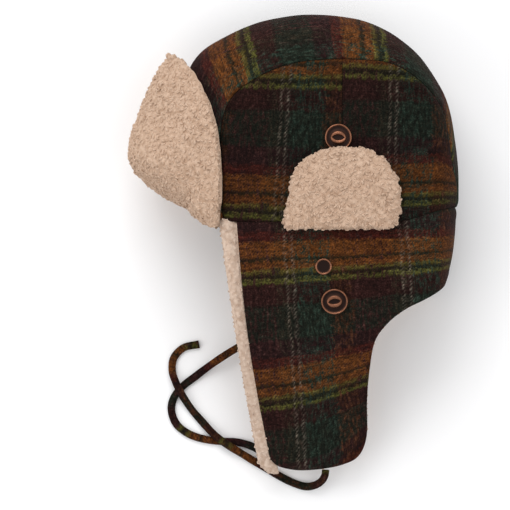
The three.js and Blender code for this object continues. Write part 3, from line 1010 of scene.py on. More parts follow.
@dataclass(frozen=True)
class PileCoat:
    """Curls that a Geometry Nodes tree grows wherever a piece's "pile" attribute says.

    Args:
        lump: size of the lumps of the ground, in millimetres.
        lump_height: how high they stand.
        spacing: least distance between two curls.
        radius: radius of a curl.
        strand: radius of its strand.
        sunk: how deep its middle sits in the ground.
        seed: number of the random pattern.
    """

    lump: float = 5.0
    lump_height: float = 2.6
    spacing: float = 2.9
    radius: float = 1.3
    strand: float = 0.9
    sunk: float = 1.0
    seed: int = 5

    def sizes(self) -> dict[str, float]:
        """The sizes that the node tree works with.

        Returns:
            What each input of the tree gets, in metres.
        """
        named = (("Lump Size", self.lump), ("Lump Height", self.lump_height),
                 ("Curl Spacing", self.spacing), ("Curl Radius", self.radius),
                 ("Strand Radius", self.strand), ("Curl Depth", self.sunk))
        return {name: size * MM for name, size in named}

    def tree(self, finish: bpy.types.Material) -> bpy.types.NodeTree:
        """Builds the node tree.

        Args:
            finish: the pile's material.

        Returns:
            The tree, with an input for each size.
        """
        tree = bpy.data.node_groups.new("pile_coat", "GeometryNodeTree")
        sockets = [("Geometry", "INPUT", "Geometry"),
                   *((name, "INPUT", "Float") for name in self.sizes()),
                   ("Seed", "INPUT", "Int"), ("Geometry", "OUTPUT", "Geometry")]
        for name, way, kind in sockets:
            tree.interface.new_socket(name, in_out=way, socket_type="NodeSocket" + kind)
        g = Graph(tree)
        given = g.node("NodeGroupInput").outputs
        weight = g.node("GeometryNodeInputNamedAttribute", {"Name": "pile"}, data_type="FLOAT"
                        ).outputs["Attribute"]
        ground = self.lumpy_ground(g, given, weight)
        points = g.node("GeometryNodeDistributePointsOnFaces", {
            "Mesh": ground, "Distance Min": given["Curl Spacing"], "Density Max": 5e5,
            "Density Factor": weight, "Seed": given["Seed"]}, distribute_method="POISSON").outputs
        spin = g.node("FunctionNodeRandomValue", {
            "Min": (-0.9, -0.9, 0.0), "Max": (0.9, 0.9, 2 * math.pi), "Seed": given["Seed"]},
            data_type="FLOAT_VECTOR").outputs[0]
        spin = g.node("FunctionNodeEulerToRotation", {0: spin}).outputs[0]
        turned = g.node("FunctionNodeRotateRotation", {
            "Rotation": points["Rotation"], "Rotate By": spin}, rotation_space="LOCAL").outputs[0]
        size = g.node("FunctionNodeRandomValue", {2: 0.55, 3: 1.35, "Seed": given["Seed"]},
                      data_type="FLOAT").outputs[1]
        curls = g.node("GeometryNodeInstanceOnPoints", {
            "Points": points["Points"], "Instance": self.curl(g, given), "Rotation": turned,
            "Scale": size}).outputs[0]
        joined = g.node("GeometryNodeJoinGeometry")
        for part in (curls, ground):
            tree.links.new(part, joined.inputs[0])
        real = g.node("GeometryNodeRealizeInstances", {0: joined.outputs[0]}).outputs[0]
        smooth = g.node("GeometryNodeSetShadeSmooth", {0: real}).outputs[0]
        dressed = g.node("GeometryNodeSetMaterial", {"Geometry": smooth, "Material": finish})
        g.node("NodeGroupOutput", {0: dressed.outputs[0]})
        return tree

    def lumpy_ground(self, g: Graph, given: bpy.types.bpy_prop_collection, weight: Socket
                     ) -> Socket:
        """The nodes that raise the ground in lumps.

        Args:
            g: the tree's graph.
            given: the tree's inputs.
            weight: how much pile grows at a point.

        Returns:
            The raised mesh.
        """
        place = g.node("GeometryNodeInputPosition").outputs[0]
        scale = g.math("DIVIDE", 1.0, given["Lump Size"])
        cells = g.node("ShaderNodeTexVoronoi", {"Vector": place, "Scale": scale},
                       feature="SMOOTH_F1").outputs["Distance"]
        high = g.math("MULTIPLY", g.math("SUBTRACT", 0.45, cells), given["Lump Height"])
        high = g.math("MULTIPLY", high, weight)
        normal = g.node("GeometryNodeInputNormal").outputs[0]
        away = g.node("ShaderNodeVectorMath", {0: normal, "Scale": high}, operation="SCALE")
        return g.node("GeometryNodeSetPosition", {
            "Geometry": given["Geometry"], "Offset": away.outputs[0]}).outputs[0]

    def curl(self, g: Graph, given: bpy.types.bpy_prop_collection) -> Socket:
        """The nodes that make one curl: an open loop that stands on the ground.

        Args:
            g: the tree's graph.
            given: the tree's inputs.

        Returns:
            Its mesh, with an attribute that rises to 1 at its top, which the pile's material reads
            to paint light on the curls' tops.
        """
        loop = g.node("GeometryNodeCurveArc", {
            "Resolution": 6, "Radius": given["Curl Radius"], "Start Angle": math.radians(-50),
            "Sweep Angle": math.radians(280)}, mode="RADIUS").outputs[0]
        ring = g.node("GeometryNodeCurvePrimitiveCircle", {
            "Resolution": 4, "Radius": given["Strand Radius"]}, mode="RADIUS").outputs[0]
        tube = g.node("GeometryNodeCurveToMesh", {
            "Curve": loop, "Profile Curve": ring, "Fill Caps": True}).outputs[0]
        down = g.node("ShaderNodeCombineXYZ", {2: g.math("MULTIPLY", given["Curl Depth"], -1.0)})
        upright = g.node("GeometryNodeTransform", {
            "Geometry": tube, "Translation": down.outputs[0],
            "Rotation": Euler((math.pi / 2, 0, 0))}).outputs[0]
        place = g.node("GeometryNodeInputPosition").outputs[0]
        level = g.node("ShaderNodeSeparateXYZ", {0: place}).outputs[2]
        # the curl's height, which the pile's material turns into painted light on its top
        top = g.math("MULTIPLY_ADD", g.math("DIVIDE", level, given["Curl Radius"]), 0.5, 0.5)
        return g.node("GeometryNodeStoreNamedAttribute", {
            "Geometry": upright, "Name": "curl_top_light", "Value": top}, data_type="FLOAT",
            domain="POINT").outputs[0]

    def grow(self, piece: bpy.types.Object, finish: bpy.types.Material) -> None:
        """Grows the pile on a piece and leaves it a plain mesh.

        Args:
            piece: the piece, with its "pile" attribute.
            finish: the pile's material.
        """
        modifier = piece.modifiers.new("pile", "NODES")
        modifier.node_group = self.tree(finish)
        values = self.sizes() | {"Seed": self.seed}
        for socket in modifier.node_group.interface.items_tree:
            if socket.in_out == "INPUT" and socket.name in values:
                modifier[socket.identifier] = values[socket.name]
        plain = evaluated(piece)
        piece.modifiers.remove(modifier)
        places = mesh_points(plain)
        places[:, 2] = np.maximum(places[:, 2], LOWEST * MM)
        plain.vertices.foreach_set("co", places.ravel())
        old, piece.data = piece.data, plain
        bpy.data.meshes.remove(old)
        plain.name = piece.name


@dataclass(frozen=True)
class Stuffing:
    """Swells a padded piece: its skin is simulated as cloth with pressure inside.

    Args:
        voxel: size of the simulated skin's faces, in millimetres.
        pressure: the pressure.
        frames: how many frames it works.
        reach: the furthest that a point may move, in millimetres.
        neighbours: how many of the skin's points carry a point of the piece.
    """

    voxel: float = 4.5
    pressure: float = 4.0
    frames: int = 20
    reach: float = 1.6
    neighbours: int = 4

    def swell(self, piece: bpy.types.Object) -> None:
        """Moves the pile's side of a piece as its simulated skin moves.

        Args:
            piece: the piece, with its "pile" attribute.
        """
        skin = link("skin", piece.data.copy())
        remesh = skin.modifiers.new("remesh", "REMESH")
        remesh.mode, remesh.voxel_size = "VOXEL", self.voxel * MM
        plain = evaluated(skin)
        skin.modifiers.remove(remesh)
        skin.data = plain
        rest = mesh_points(plain)
        cloth = skin.modifiers.new("cloth", "CLOTH")
        cloth.settings.use_pressure = True
        cloth.settings.uniform_pressure_force = self.pressure
        cloth.settings.effector_weights.gravity = 0.0
        cloth.point_cache.frame_start, cloth.point_cache.frame_end = 1, self.frames
        for moment in range(1, self.frames + 1):
            bpy.context.scene.frame_set(moment)
        moved = mesh_points(evaluated(skin)) - rest
        bpy.context.scene.frame_set(1)
        bpy.data.objects.remove(skin)
        far = np.linalg.norm(moved, axis=1, keepdims=True)
        moved = moved * np.minimum(1, self.reach * MM / np.maximum(far, 1e-9))
        LOG.info("%s swells by up to %.1f mm", piece.name, min(self.reach, far.max() / MM))
        near = KDTree(len(rest))
        for index, point in enumerate(rest):
            near.insert(point, index)
        near.balance()
        points = mesh_points(piece.data)
        grown = np.zeros(len(points))
        piece.data.attributes["pile"].data.foreach_get("value", grown)
        for index, point in enumerate(points.copy()):
            found = near.find_n(point, self.neighbours)
            shares = np.array([1 / (away + 1e-5) for _, _, away in found])
            push = shares @ moved[[place for _, place, _ in found]] / shares.sum()
            points[index] += push * grown[index]
        piece.data.vertices.foreach_set("co", points.ravel())
        piece.data.update()


# ---- parts -------------------------------------------------------------------------------


@dataclass
class Finishes:
    """The materials that the parts share.

    Args:
        wool: the flaps', the covers' and the peak's cloth.
        crown: the crown's sides' cloth, darkened as painted shade.
        gusset: the gusset's cloth, lightened as painted light.
        tie: the ties' cloth.
        sherpa: the covers' and the peak's pile.
        lining: the lining's pile.
        copper: the snaps' metal.
    """

    wool: bpy.types.Material
    crown: bpy.types.Material
    gusset: bpy.types.Material
    tie: bpy.types.Material
    sherpa: bpy.types.Material
    lining: bpy.types.Material
    copper: bpy.types.Material


def place_piece(piece: bpy.types.Object, node: str,
                finish: bpy.types.Material | None = None) -> bpy.types.Object:
    """Gives a finished piece its place in the frame.

    Args:
        piece: the piece.
        node: the solid that it stands for.
        finish: its material, unless it has one.

    Returns:
        The piece.
    """
    if finish is not None:
        piece.data.materials.append(finish)
    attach(piece, "root")
    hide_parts(node)
    faces = sum(len(polygon.vertices) - 2 for polygon in piece.data.polygons)
    LOG.info("%s: %d triangles", piece.name, faces)
    return piece


@dataclass(frozen=True)
class Sewn:
    """A layer that is ready to be made: where its faces lie and which solid it stands for.

    Args:
        name: the piece's name, without its kind.
        faces: the outer and the inner points.
        node: the solid, where its name isn't the piece's.
        closed: whether the layer runs all the way round.
    """

    name: str
    faces: Faces
    node: str = ""
    closed: bool = False

    def in_wool(self, finish: bpy.types.Material, plaid: Array) -> None:
        """Makes it of wool.

        Args:
            finish: the wool.
            plaid: millimetres across and along the cloth at each point.
        """
        piece = layer("wool_" + self.name, self.faces, self.closed, plaid=plaid)
        place_piece(piece, self.node or self.name, finish)

    def in_pile(self, finish: bpy.types.Material, coat: PileCoat, outer: float | Array,
                inner: float, stuffing: Stuffing | None = None) -> None:
        """Makes it of pile.

        Args:
            finish: the pile's material.
            coat: the pile.
            outer: how much of it grows on the outer face.
            inner: how much of it grows on the inner face.
            stuffing: what swells it.
        """
        flat = np.ones(self.faces[0].shape[:2])
        piece = layer("sherpa_" + self.name, self.faces, self.closed,
                      pile=(outer * flat, inner * flat))
        if stuffing is not None:
            stuffing.swell(piece)
        coat.grow(piece, finish)
        place_piece(piece, self.node or self.name)


@dataclass(frozen=True)
class PlaidLay:
    """How the plaid lies on a panel: where a pale twin line and a yellow-green pair run.

    Args:
        twin_x: x of the twin line at height twin_y.
        twin_y: that height.
        twin_slant: how far it moves in x for each millimetre up.
        pair_x: where the height of the pair is given.
        low: height and slope of the lower pair.
        high: height and slope of the upper pair.
    """

    twin_x: float
    twin_y: float
    twin_slant: float
    pair_x: float
    low: tuple[float, float]
    high: tuple[float, float]

    def at(self, x: Array, y: Array) -> Array:
        """Millimetres across and down the cloth.

        Args:
            x: x on the flattened panel.
            y: y on it.

        Returns:
            Both, in the last axis.
        """
        across = x - self.twin_x - self.twin_slant * (y - self.twin_y)
        away = x - self.pair_x
        low = self.low[0] + self.low[1] * away
        high = self.high[0] + self.high[1] * away
        return on_cloth(across, WEFT_REPEAT * (low - y) / (high - low))


@dataclass(frozen=True)
class GussetLay:
    """How the plaid lies on the gusset, whose stripes cross it and fan out from front to back.

    Args:
        pair_x: x of a yellow-green pair on the left seam.
        skew: how far back that pair runs for each millimetre across.
        fan: how far this drops for each millimetre further back.
        fade: distance across over which the fanning fades.
        twin: distance of a twin line from the left seam.
    """

    pair_x: float = -69.7
    skew: float = 0.26
    fan: float = 0.0049
    fade: float = 90.0
    twin: float = 20.0

    def at(self, points: Array) -> Array:
        """Millimetres across and down the cloth.

        Args:
            points: a grid of points, from back to front and from the left seam to the right.

        Returns:
            Both, in the last axis.
        """
        seam = points[:, 0]
        run = summed(strides(seam))
        back = (np.interp(-self.pair_x, -seam[:, 0], run) - run)[:, None]
        across = summed(strides(points, 1))
        fanned = self.fade * (1 - np.exp(-across / self.fade))
        return on_cloth(self.twin - across, back + (self.fan * back - self.skew) * fanned)


@dataclass
class Crown:
    """The crown: two side panels of two halves each, the gusset, and the lining.

    Args:
        looks: the finishes.
        coat: the lining's pile.
        cloth: thickness of the wool.
        lining: depths of the lining's outer and inner face.
        step: distance between the meshes' lines.
        coarse: the same for the lining.
        edge: widest rounding of an edge.
        reach: length of a panel from the middle of the rim to the gusset.
        over: length of the gusset.
        width: width of the gusset.
        spread: distance from the middle at which the rays' spacing is measured.
        drawn_in: how far the gusset's front rim is drawn in under the peak.
        front: the plaid on the front halves.
        back: the plaid on the back halves.
        top: the plaid on the gusset.
    """

    looks: Finishes
    coat: PileCoat
    cloth: float = 1.6
    lining: tuple[float, float] = (1.9, 7.9)
    step: float = 2.4
    coarse: float = 3.2
    edge: float = 2.2
    reach: float = 125.0
    over: float = 440.0
    width: float = 150.0
    spread: float = 110.0
    drawn_in: float = 5.0
    front: PlaidLay = PlaidLay(-46.5, 73, 0.063, -70, (8.45, -0.061), (117.7, -0.016))
    back: PlaidLay = PlaidLay(45.5, 90, 0.026, 60, (18.5, 0.065), (123.4, -0.06))
    top: GussetLay = GussetLay()

    def panel_point(self, angle: Array, ring: Array, depth: Array, side: Side) -> Array:
        """A point of a side panel.

        Args:
            angle: its ray, in degrees.
            ring: from 0 at the middle of the rim to 1 at the gusset's seam.
            depth: how deep it lies.
            side: the side of the hat.

        Returns:
            x, y and z in the last axis.
        """
        _, _, flat = FORM.rays.at(angle)
        seam = FORM.seam_turn(angle)
        arc = np.radians(90 - seam) * FORM.middle * 0.75
        run = ring * (flat + arc)
        distance = np.minimum(run, flat)
        x = FORM.centre_x + distance * np.cos(np.radians(angle))
        y = distance * np.sin(np.radians(angle))
        level = np.full(np.shape(x), math.pi / 2 * side.value)
        plain = np.stack([x, FORM.lifted(x, y), FORM.height(x, y, level, depth)], axis=-1)
        part = np.clip((run - flat) / np.maximum(arc, 1e-6), 0, 1)
        turned = FORM.round_point(angle, side.value * (90 + (seam - 90) * part), depth)
        return np.where((run > flat)[..., None], turned, plain)

    def rounding(self, top: float, foot: float) -> float:
        """Width of a layer's rounded edge, by the depths of its faces."""
        return min(self.edge, (foot - top) / 2 + 0.6)

    def relief(self, base: Array, away: Array) -> Array:
        """How far the crown's cloth stands proud, at a distance from the gusset's seam."""
        found = soft_relief(base) + pucker(base, 0.45) * seam_relief(away)
        return found + 0.8 * seam_relief(FORM.from_rim(base))

    def panel(self, side: Side, first: float, last: float, top: float, foot: float, step: float
              ) -> tuple[Faces, Array, Array]:
        """The two faces of a side panel or its lining.

        Args:
            side: the side of the hat.
            first: its first ray, in degrees.
            last: its last ray.
            top: depth of its outer face.
            foot: depth of its inner face.
            step: distance between its lines.

        Returns:
            The faces, and x and y of the cloth if its rounding is pressed flat along the rays.
        """
        edge = self.rounding(top, foot)
        rays = Stations.along(math.radians(last - first) * self.spread, step, edge)
        u, ring, full = rays.across(Stations.along(self.reach, step, edge, round_start=False))
        angle = first + (last - first) * u
        base = self.panel_point(angle, ring, np.zeros(u.shape), side)
        relief = self.relief(base, (1 - ring) * self.reach)
        if last - first < 180:
            upright = seam_relief(np.abs(base[..., 0] - FORM.centre_x))
            relief = relief + 0.55 * pucker(base, 0.45) * upright
        faces = faces_at(lambda depth: self.panel_point(angle, ring, depth, side), top, foot,
                         full, relief)
        extra = summed(strides(base, 1) - strides(base[..., :2], 1))
        return (faces, base[..., 0] + extra * np.cos(np.radians(angle)),
                base[..., 1] + extra * np.sin(np.radians(angle)))

    def gusset(self, top: float, foot: float, step: float) -> tuple[Faces, Array]:
        """The two faces of the gusset or its lining.

        Args:
            top: depth of its outer face.
            foot: depth of its inner face.
            step: distance between its lines.

        Returns:
            The faces, and millimetres across and along the cloth.
        """
        edge = self.rounding(top, foot)
        rays = Stations.along(self.over, step, edge)
        u, v, full = rays.across(Stations.along(self.width, step, edge))
        angle = 180 * u
        turn = FORM.seam_turn(angle) * (1 - 2 * v)
        base = FORM.round_point(angle, turn, np.zeros(u.shape))
        run = summed(strides(base, 1))
        relief = self.relief(base, np.minimum(run, run[:, -1:] - run))
        faces = faces_at(lambda depth: FORM.round_point(angle, turn, depth), top, foot, full,
                         relief)
        for face in faces:
            low = 1 - smoothstep(face[..., 1], 8, 40)
            face[..., 0] += self.drawn_in * smoothstep(-face[..., 0], 104, 120) * low
        return faces, self.top.at(base)

    def build(self) -> None:
        """Makes the crown's pieces."""
        faces, plaid = self.gusset(0, self.cloth, self.step)
        Sewn("gusset", faces, "crown_gusset").in_wool(self.looks.gusset, plaid)
        halves = (("back", 0, self.back), ("front", 90, self.front))
        for side, (half, first, lay) in itertools.product(Side, halves):
            faces, x, y = self.panel(side, first, first + 90, 0, self.cloth, self.step)
            name = f"crown_side_{side.name.lower()}_{half}"
            Sewn(name, faces).in_wool(self.looks.crown, lay.at(x, y))
        faces, _ = self.gusset(*self.lining, self.coarse)
        Sewn("crown_lining_gusset", faces).in_pile(self.looks.lining, self.coat, 0, 1)
        for side in Side:
            faces, _, _ = self.panel(side, 0, 180, *self.lining, self.coarse)
            Sewn(f"crown_lining_{side.name.lower()}", faces).in_pile(
                self.looks.lining, self.coat, 0, 1)


@dataclass
class EarFlaps:
    """The two ear flaps with the neck, and their lining, which is rolled past the front edge.

    Args:
        looks: the finishes.
        coat: the lining's pile.
        cloth: thickness of the wool.
        lining: depths of the lining's outer and inner face.
        step: distance between the wool's lines.
        lining_step: the same for the lining.
        width: length of the rim.
        rolled_width: the same with the roll.
        height: height of a flap.
        edge: rounding of the lining's edges.
        bent: the line past which the flap turns round the back of the head.
        overlap: how far the roll reaches up over the rim, as a part of the flap's height.
        lines: the lines that run down the wool.
    """

    looks: Finishes
    coat: PileCoat
    cloth: float = 1.6
    lining: tuple[float, float] = (1.9, 7.9)
    step: float = 2.0
    lining_step: float = 2.2
    width: float = 200.0
    rolled_width: float = 215.0
    height: float = 205.0
    edge: float = 2.6
    bent: int = 11
    overlap: float = 0.018
    lines: SmoothTable = SmoothTable(FLAP_LINES)

    def point(self, lines: SmoothTable, at: Array, part: Array, depth: Array, side: Side) -> Array:
        """A point of a flap.

        Args:
            lines: the flap's lines.
            at: place in the row of lines.
            part: from 0 at the rim to 1 at the free edge.
            depth: how deep it lies.
            side: the side of the hat.

        Returns:
            x, y and z in the last axis.
        """
        rim, end_x, end_y, bow, turn = lines.at(at)[:5]
        bend = np.radians(np.clip(turn, 0, 90))
        if side is Side.RIGHT:
            drawn = 0.04 * smoothstep(-end_y, 60, 150)
            end_x = end_x + 0.1 * (20 - np.minimum(end_x, 20))
            end_y = end_y * (1 - drawn)
        x = rim + (end_x - rim) * part + bow * np.sin(math.pi * part) - depth * np.cos(bend)
        y = end_y * part
        z = FORM.height(x, y, bend * side.value, depth)
        return np.stack([x, FORM.lifted(x, y), z], axis=-1)

    def plaid(self, x: Array, y: Array) -> Array:
        """Millimetres across and down the flap's cloth, whose bands rise towards the back.

        Args:
            x: x on the flattened flap.
            y: y on it.

        Returns:
            Both, in the last axis.
        """
        away = x + 78
        low = np.clip((-y - 47) / 106, 0, 1.2)
        rise = (0.05 + 0.08 * low) * away + 0.00015 * (1 - low) * away**2
        rise = rise * (0.05 + 0.95 * np.clip(-y / 40, 0, 1))
        rise = rise + 0.0045 * (low * np.maximum(away - 40, 0)) ** 2
        return on_cloth(x + 43.5 + 0.069 * y, -47.2 - (y - rise))

    def build(self) -> None:
        """Makes the flaps and their lining."""
        for side in Side:
            self.flap(side)
            self.flap_lining(side)

    def flap(self, side: Side) -> None:
        """Makes the wool of one flap.

        Args:
            side: the side of the hat.
        """
        last = FLAP_LINES[-1][0]
        across = Stations.along(self.width, self.step, self.cloth)
        u, part, full = across.across(Stations.along(self.height, self.step, self.cloth))
        at = u * last
        base = self.point(self.lines, at, part, np.zeros(at.shape), side)
        relief = soft_relief(base) + 0.8 * pucker(base, 0.4) * seam_relief(FORM.from_rim(base))
        relief = relief + hem_relief((1 - part) * np.abs(self.lines.at(at)[2]))
        relief = relief + hem_relief(at / last * self.width)
        faces = faces_at(lambda depth: self.point(self.lines, at, part, depth, side), 0,
                         self.cloth, full, relief)
        x = base[..., 0].copy()
        bent = int(np.searchsorted(across.at * last, self.bent))
        x[bent + 1:] = x[bent] + np.cumsum(strides(base)[bent:], axis=0)
        Sewn(f"ear_flap_{side.name.lower()}", faces).in_wool(
            self.looks.wool, self.plaid(x, base[..., 1]))

    def flap_lining(self, side: Side) -> None:
        """Makes the lining of one flap, with the roll along its front edge.

        Args:
            side: the side of the hat.
        """
        lines = SmoothTable([*ROLL_LINES, *((*line, *self.lining) for line in FLAP_LINES)])
        across = Stations.along(self.rolled_width, self.lining_step, self.edge)
        down = Stations.along(self.height, self.lining_step, self.edge)
        u, part, full = across.across(down)
        first, last = ROLL_LINES[0][0], FLAP_LINES[-1][0]
        at = u * (last - first) + first
        part = part - self.overlap * smoothstep(-at, 0.6, 1.6) * (1 - part) ** 12
        top, foot = lines.at(at)[5:]
        if side is Side.RIGHT:
            top = np.maximum(top, 0)
        relief = soft_relief(self.point(lines, at, part, np.zeros(at.shape), side))
        faces = faces_at(lambda depth: self.point(lines, at, part, depth, side), top, foot, full,
                         relief)
        roll = np.clip(1.2 - smoothstep(at, -1.4, -0.8) * 1.2, 0, 1)
        Sewn(f"ear_flap_lining_{side.name.lower()}", faces).in_pile(
            self.looks.lining, self.coat, roll, 1)


@dataclass
class Peak:
    """The peak, turned up in front: a cloth back and a pile face.

    Args:
        looks: the finishes.
        coat: its pile.
        cloth: thickness of its back.
        pile: depth of its pile.
        hinge_angle: the ray that its hinge follows, in degrees.
        hinge_turn: how far round to each side the hinge goes.
        bulge: how far its middle stands forward.
        sag: how far its ends hang below the rim.
        blunt: how far their corners are pushed back.
        fringe: how far the tufts of its free edge stand out and back, as a part of its height.
        foot: depth at which the pile starts.
        rounding: width of the pile's rounded edge.
        width: length of its free edge.
        height: height of its middle.
        step: distance between the pile's lines.
        coarse: the same for the cloth.
        edge: its free edge.
        drawn_in: how far its fold is drawn in, by height.
    """

    looks: Finishes
    coat: PileCoat
    cloth: float = 1.6
    pile: float = 7.5
    hinge_angle: float = 175.5
    hinge_turn: float = 74.0
    bulge: float = 42.0
    sag: float = 10.0
    blunt: float = 3.5
    fringe: float = 0.016
    foot: float = 0.3
    rounding: float = 4.5
    width: float = 250.0
    height: float = 115.0
    step: float = 1.5
    coarse: float = 2.4
    edge: SmoothTable = SmoothTable(PEAK_EDGE)
    drawn_in: SmoothTable = SmoothTable(PEAK_SLACK)

    def point(self, across: Array, part: Array) -> Array:
        """A point of the peak's cloth.

        Args:
            across: from -1 at its right end to 1 at its left end.
            part: from 0 at its hinge to 1 at its free edge.

        Returns:
            x, y and z in the last axis.
        """
        half = np.abs(across)
        angle = np.full(half.shape, self.hinge_angle)
        hinge = FORM.round_point(angle, self.hinge_turn * half, -0.9 - self.cloth * half, 0.15)
        edge = np.moveaxis(self.edge.at(half), 0, -1)
        found = hinge + (edge - hinge) * part[..., None]
        swell = (1 - half**2.2) * np.sin(math.pi * np.clip(part, 0, 1) ** 0.78)
        found[..., 0] -= self.bulge * swell
        side = np.where(across < 0, -0.88, 1.0)
        found[..., 2] = FORM.middle + (found[..., 2] - FORM.middle) * side
        slack = self.drawn_in.at(found[..., 1])[0]
        found[..., 0] += slack * smoothstep(-found[..., 0], 108, 140)
        low = smoothstep(found[..., 0], -118, -98) * (1 - smoothstep(found[..., 1], 10, 70))
        found[..., 1] -= self.sag * low
        found[..., 0] += self.blunt * low * (1 - smoothstep(found[..., 1], -8, 14))
        return found

    def out(self, across: Array, part: Array) -> Array:
        """The way out of the peak's pile side.

        Args:
            across: as for a point.
            part: as for a point.

        Returns:
            A direction of length 1 in the last axis.
        """
        small = 0.02
        a = np.clip(across, small - 1, 1 - small)
        b = np.clip(part, small, 1 - small)
        along_a = self.point(a + small, b) - self.point(a - small, b)
        along_b = self.point(a, b + small) - self.point(a, b - small)
        normal = np.cross(along_a, along_b)
        return normal / np.linalg.norm(normal, axis=-1, keepdims=True)

    def build(self) -> None:
        """Makes the peak's two pieces."""
        self.pile_face()
        lines = Stations.along(self.width, self.coarse, self.cloth)
        u, part, full = lines.across(Stations.along(self.height, self.coarse, self.cloth))
        across = (u * 2 - 1) * 0.955
        base, out = self.point(across, part), self.out(across, part)
        faces = faces_at(lambda depth: base - out * depth[..., None], 0, self.cloth, full, 0)
        plaid = on_cloth(across * self.width / 2, 20 - part * self.height)
        Sewn("peak", faces, "peak_cloth").in_wool(self.looks.wool, plaid)

    def pile_face(self) -> None:
        """Makes the pile on the peak's front."""
        lines = Stations.along(self.width, self.step, self.rounding)
        u, v, full = lines.across(Stations.along(self.height, self.step, self.rounding))
        across = u * 2 - 1
        tufts = self.fringe * noise(np.outer(lines.at, (self.width, 0, 0)), 3.0, 22)
        part = v * 1.08 - 0.04 + tufts[:, None] * v**10
        base, out = self.point(across, part), self.out(across, part)
        dent = np.exp(-((across - 0.42) / 0.14) ** 2 - ((part - 0.55) / 0.2) ** 2)
        wave = 0.9 * noise(base, 34, 8) - 2.2 * dent
        depth = self.pile - self.foot
        top = self.foot + depth * (0.45 + 0.55 * full) + wave
        foot = self.foot + depth * (0.45 - 0.45 * full)
        outer = base + out * top[..., None]
        inner = np.where((full < 0.05)[..., None], outer, base + out * foot[..., None])
        Sewn("peak", (outer, inner), "peak_pile").in_pile(
            self.looks.sherpa, self.coat, 1, 0, stuffing=Stuffing())


@dataclass
class EarCovers:
    """The two D-shaped ear covers, folded up over the sides of the crown.

    Args:
        looks: the finishes.
        coat: their pile.
        x: x of the middle of a cover.
        y: y of it.
        cloth: thickness of its cloth.
        cloth_size: size of the cloth against the outline.
        pile: depth of the left one's pile.
        pressed: depth of the right one's pile, under the hat.
        size: size of the pile's skin against the outline, which its curls reach.
        fringe: how far the tufts of the left one's edge stand out and back, as a part of it.
        gap: least distance between two layers.
        radius: a cover's mean radius.
        over_snap: how far the left one's underside is raised over the snap, and from which
            height on the hat to which.
    """

    looks: Finishes
    coat: PileCoat
    x: float = 3.0
    y: float = 24.0
    cloth: float = 1.6
    cloth_size: float = 0.84
    pile: float = 8.0
    pressed: float = 4.2
    size: float = 0.968
    fringe: float = 0.04
    gap: float = 0.3
    radius: float = 45.0
    over_snap: tuple[float, float, float] = (1.6, 46.0, 56.0)

    def layer(self, side: Side, size: float, low: float, high: float, edge: float,
              sides: int, fringe: float = 0.0) -> tuple[Faces, Array]:
        """The two faces of a layer of a cover.

        Args:
            side: the side of the hat.
            size: its size against the whole outline.
            low: height of its underside over the hat's face.
            high: height of its top.
            edge: width of its rounded edge.
            sides: how many lines run out from its middle.
            fringe: how far its edge's tufts stand out and back, as a part of its size.

        Returns:
            The faces, and millimetres across and along the cloth.
        """
        outline = smooth_route(COVER_OUTLINE, sides, closed=True)
        rings = Stations.along(self.radius, 210 / sides, edge, round_start=False)
        tufts = fringe * noise(np.append(outline, outline[:, :1], axis=1), 3.0, 21)
        part = rings.at[None, :, None] * size
        part = part * (1 + tufts[:, None, None] * rings.at[None, :, None] ** 10)
        centre = np.array([self.x, self.y])
        flat = centre + (outline[:, None, :] - centre) * part
        x, y = flat[..., 0], flat[..., 1]
        full = np.broadcast_to(rings.full, x.shape)
        rise, start, end = self.over_snap
        over_snap = rise * smoothstep(y, start, end) if low > self.cloth else 0
        middle, half = (low + high) / 2, (high - low) / 2
        top, foot = middle + half * full, middle - half * full + over_snap * (full > 0.02)
        ground = FORM.left_height(x, y) + soft_relief(np.stack([x, y, x * 0 + 105], axis=-1))
        if side is Side.RIGHT:
            ground = FORM.right_height(np.full(x.shape, self.x), np.full(x.shape, self.y))
            top, foot = -top, -foot
        faces = tuple(np.stack([x, y, ground + level], axis=-1) for level in (top, foot))
        return faces, on_cloth(x, 30 - y)

    def build(self) -> None:
        """Makes both covers."""
        for side, pile, sides, fringe, stuffing in (
            (Side.LEFT, self.pile, 190, self.fringe, Stuffing()),
            (Side.RIGHT, self.pressed, 110, 0.0, None),
        ):
            name = f"ear_cover_{side.name.lower()}"
            top = self.gap + self.cloth
            faces, plaid = self.layer(side, self.cloth_size, self.gap, top, 1.2, 90)
            Sewn(name, faces, name + "_cloth", closed=True).in_wool(self.looks.wool, plaid)
            foot = top + self.gap
            faces, _ = self.layer(side, self.size, foot, foot + pile, pile * 0.55, sides, fringe)
            Sewn(name, faces, name + "_pile", closed=True).in_pile(
                self.looks.sherpa, self.coat, 1, 0, stuffing=stuffing)


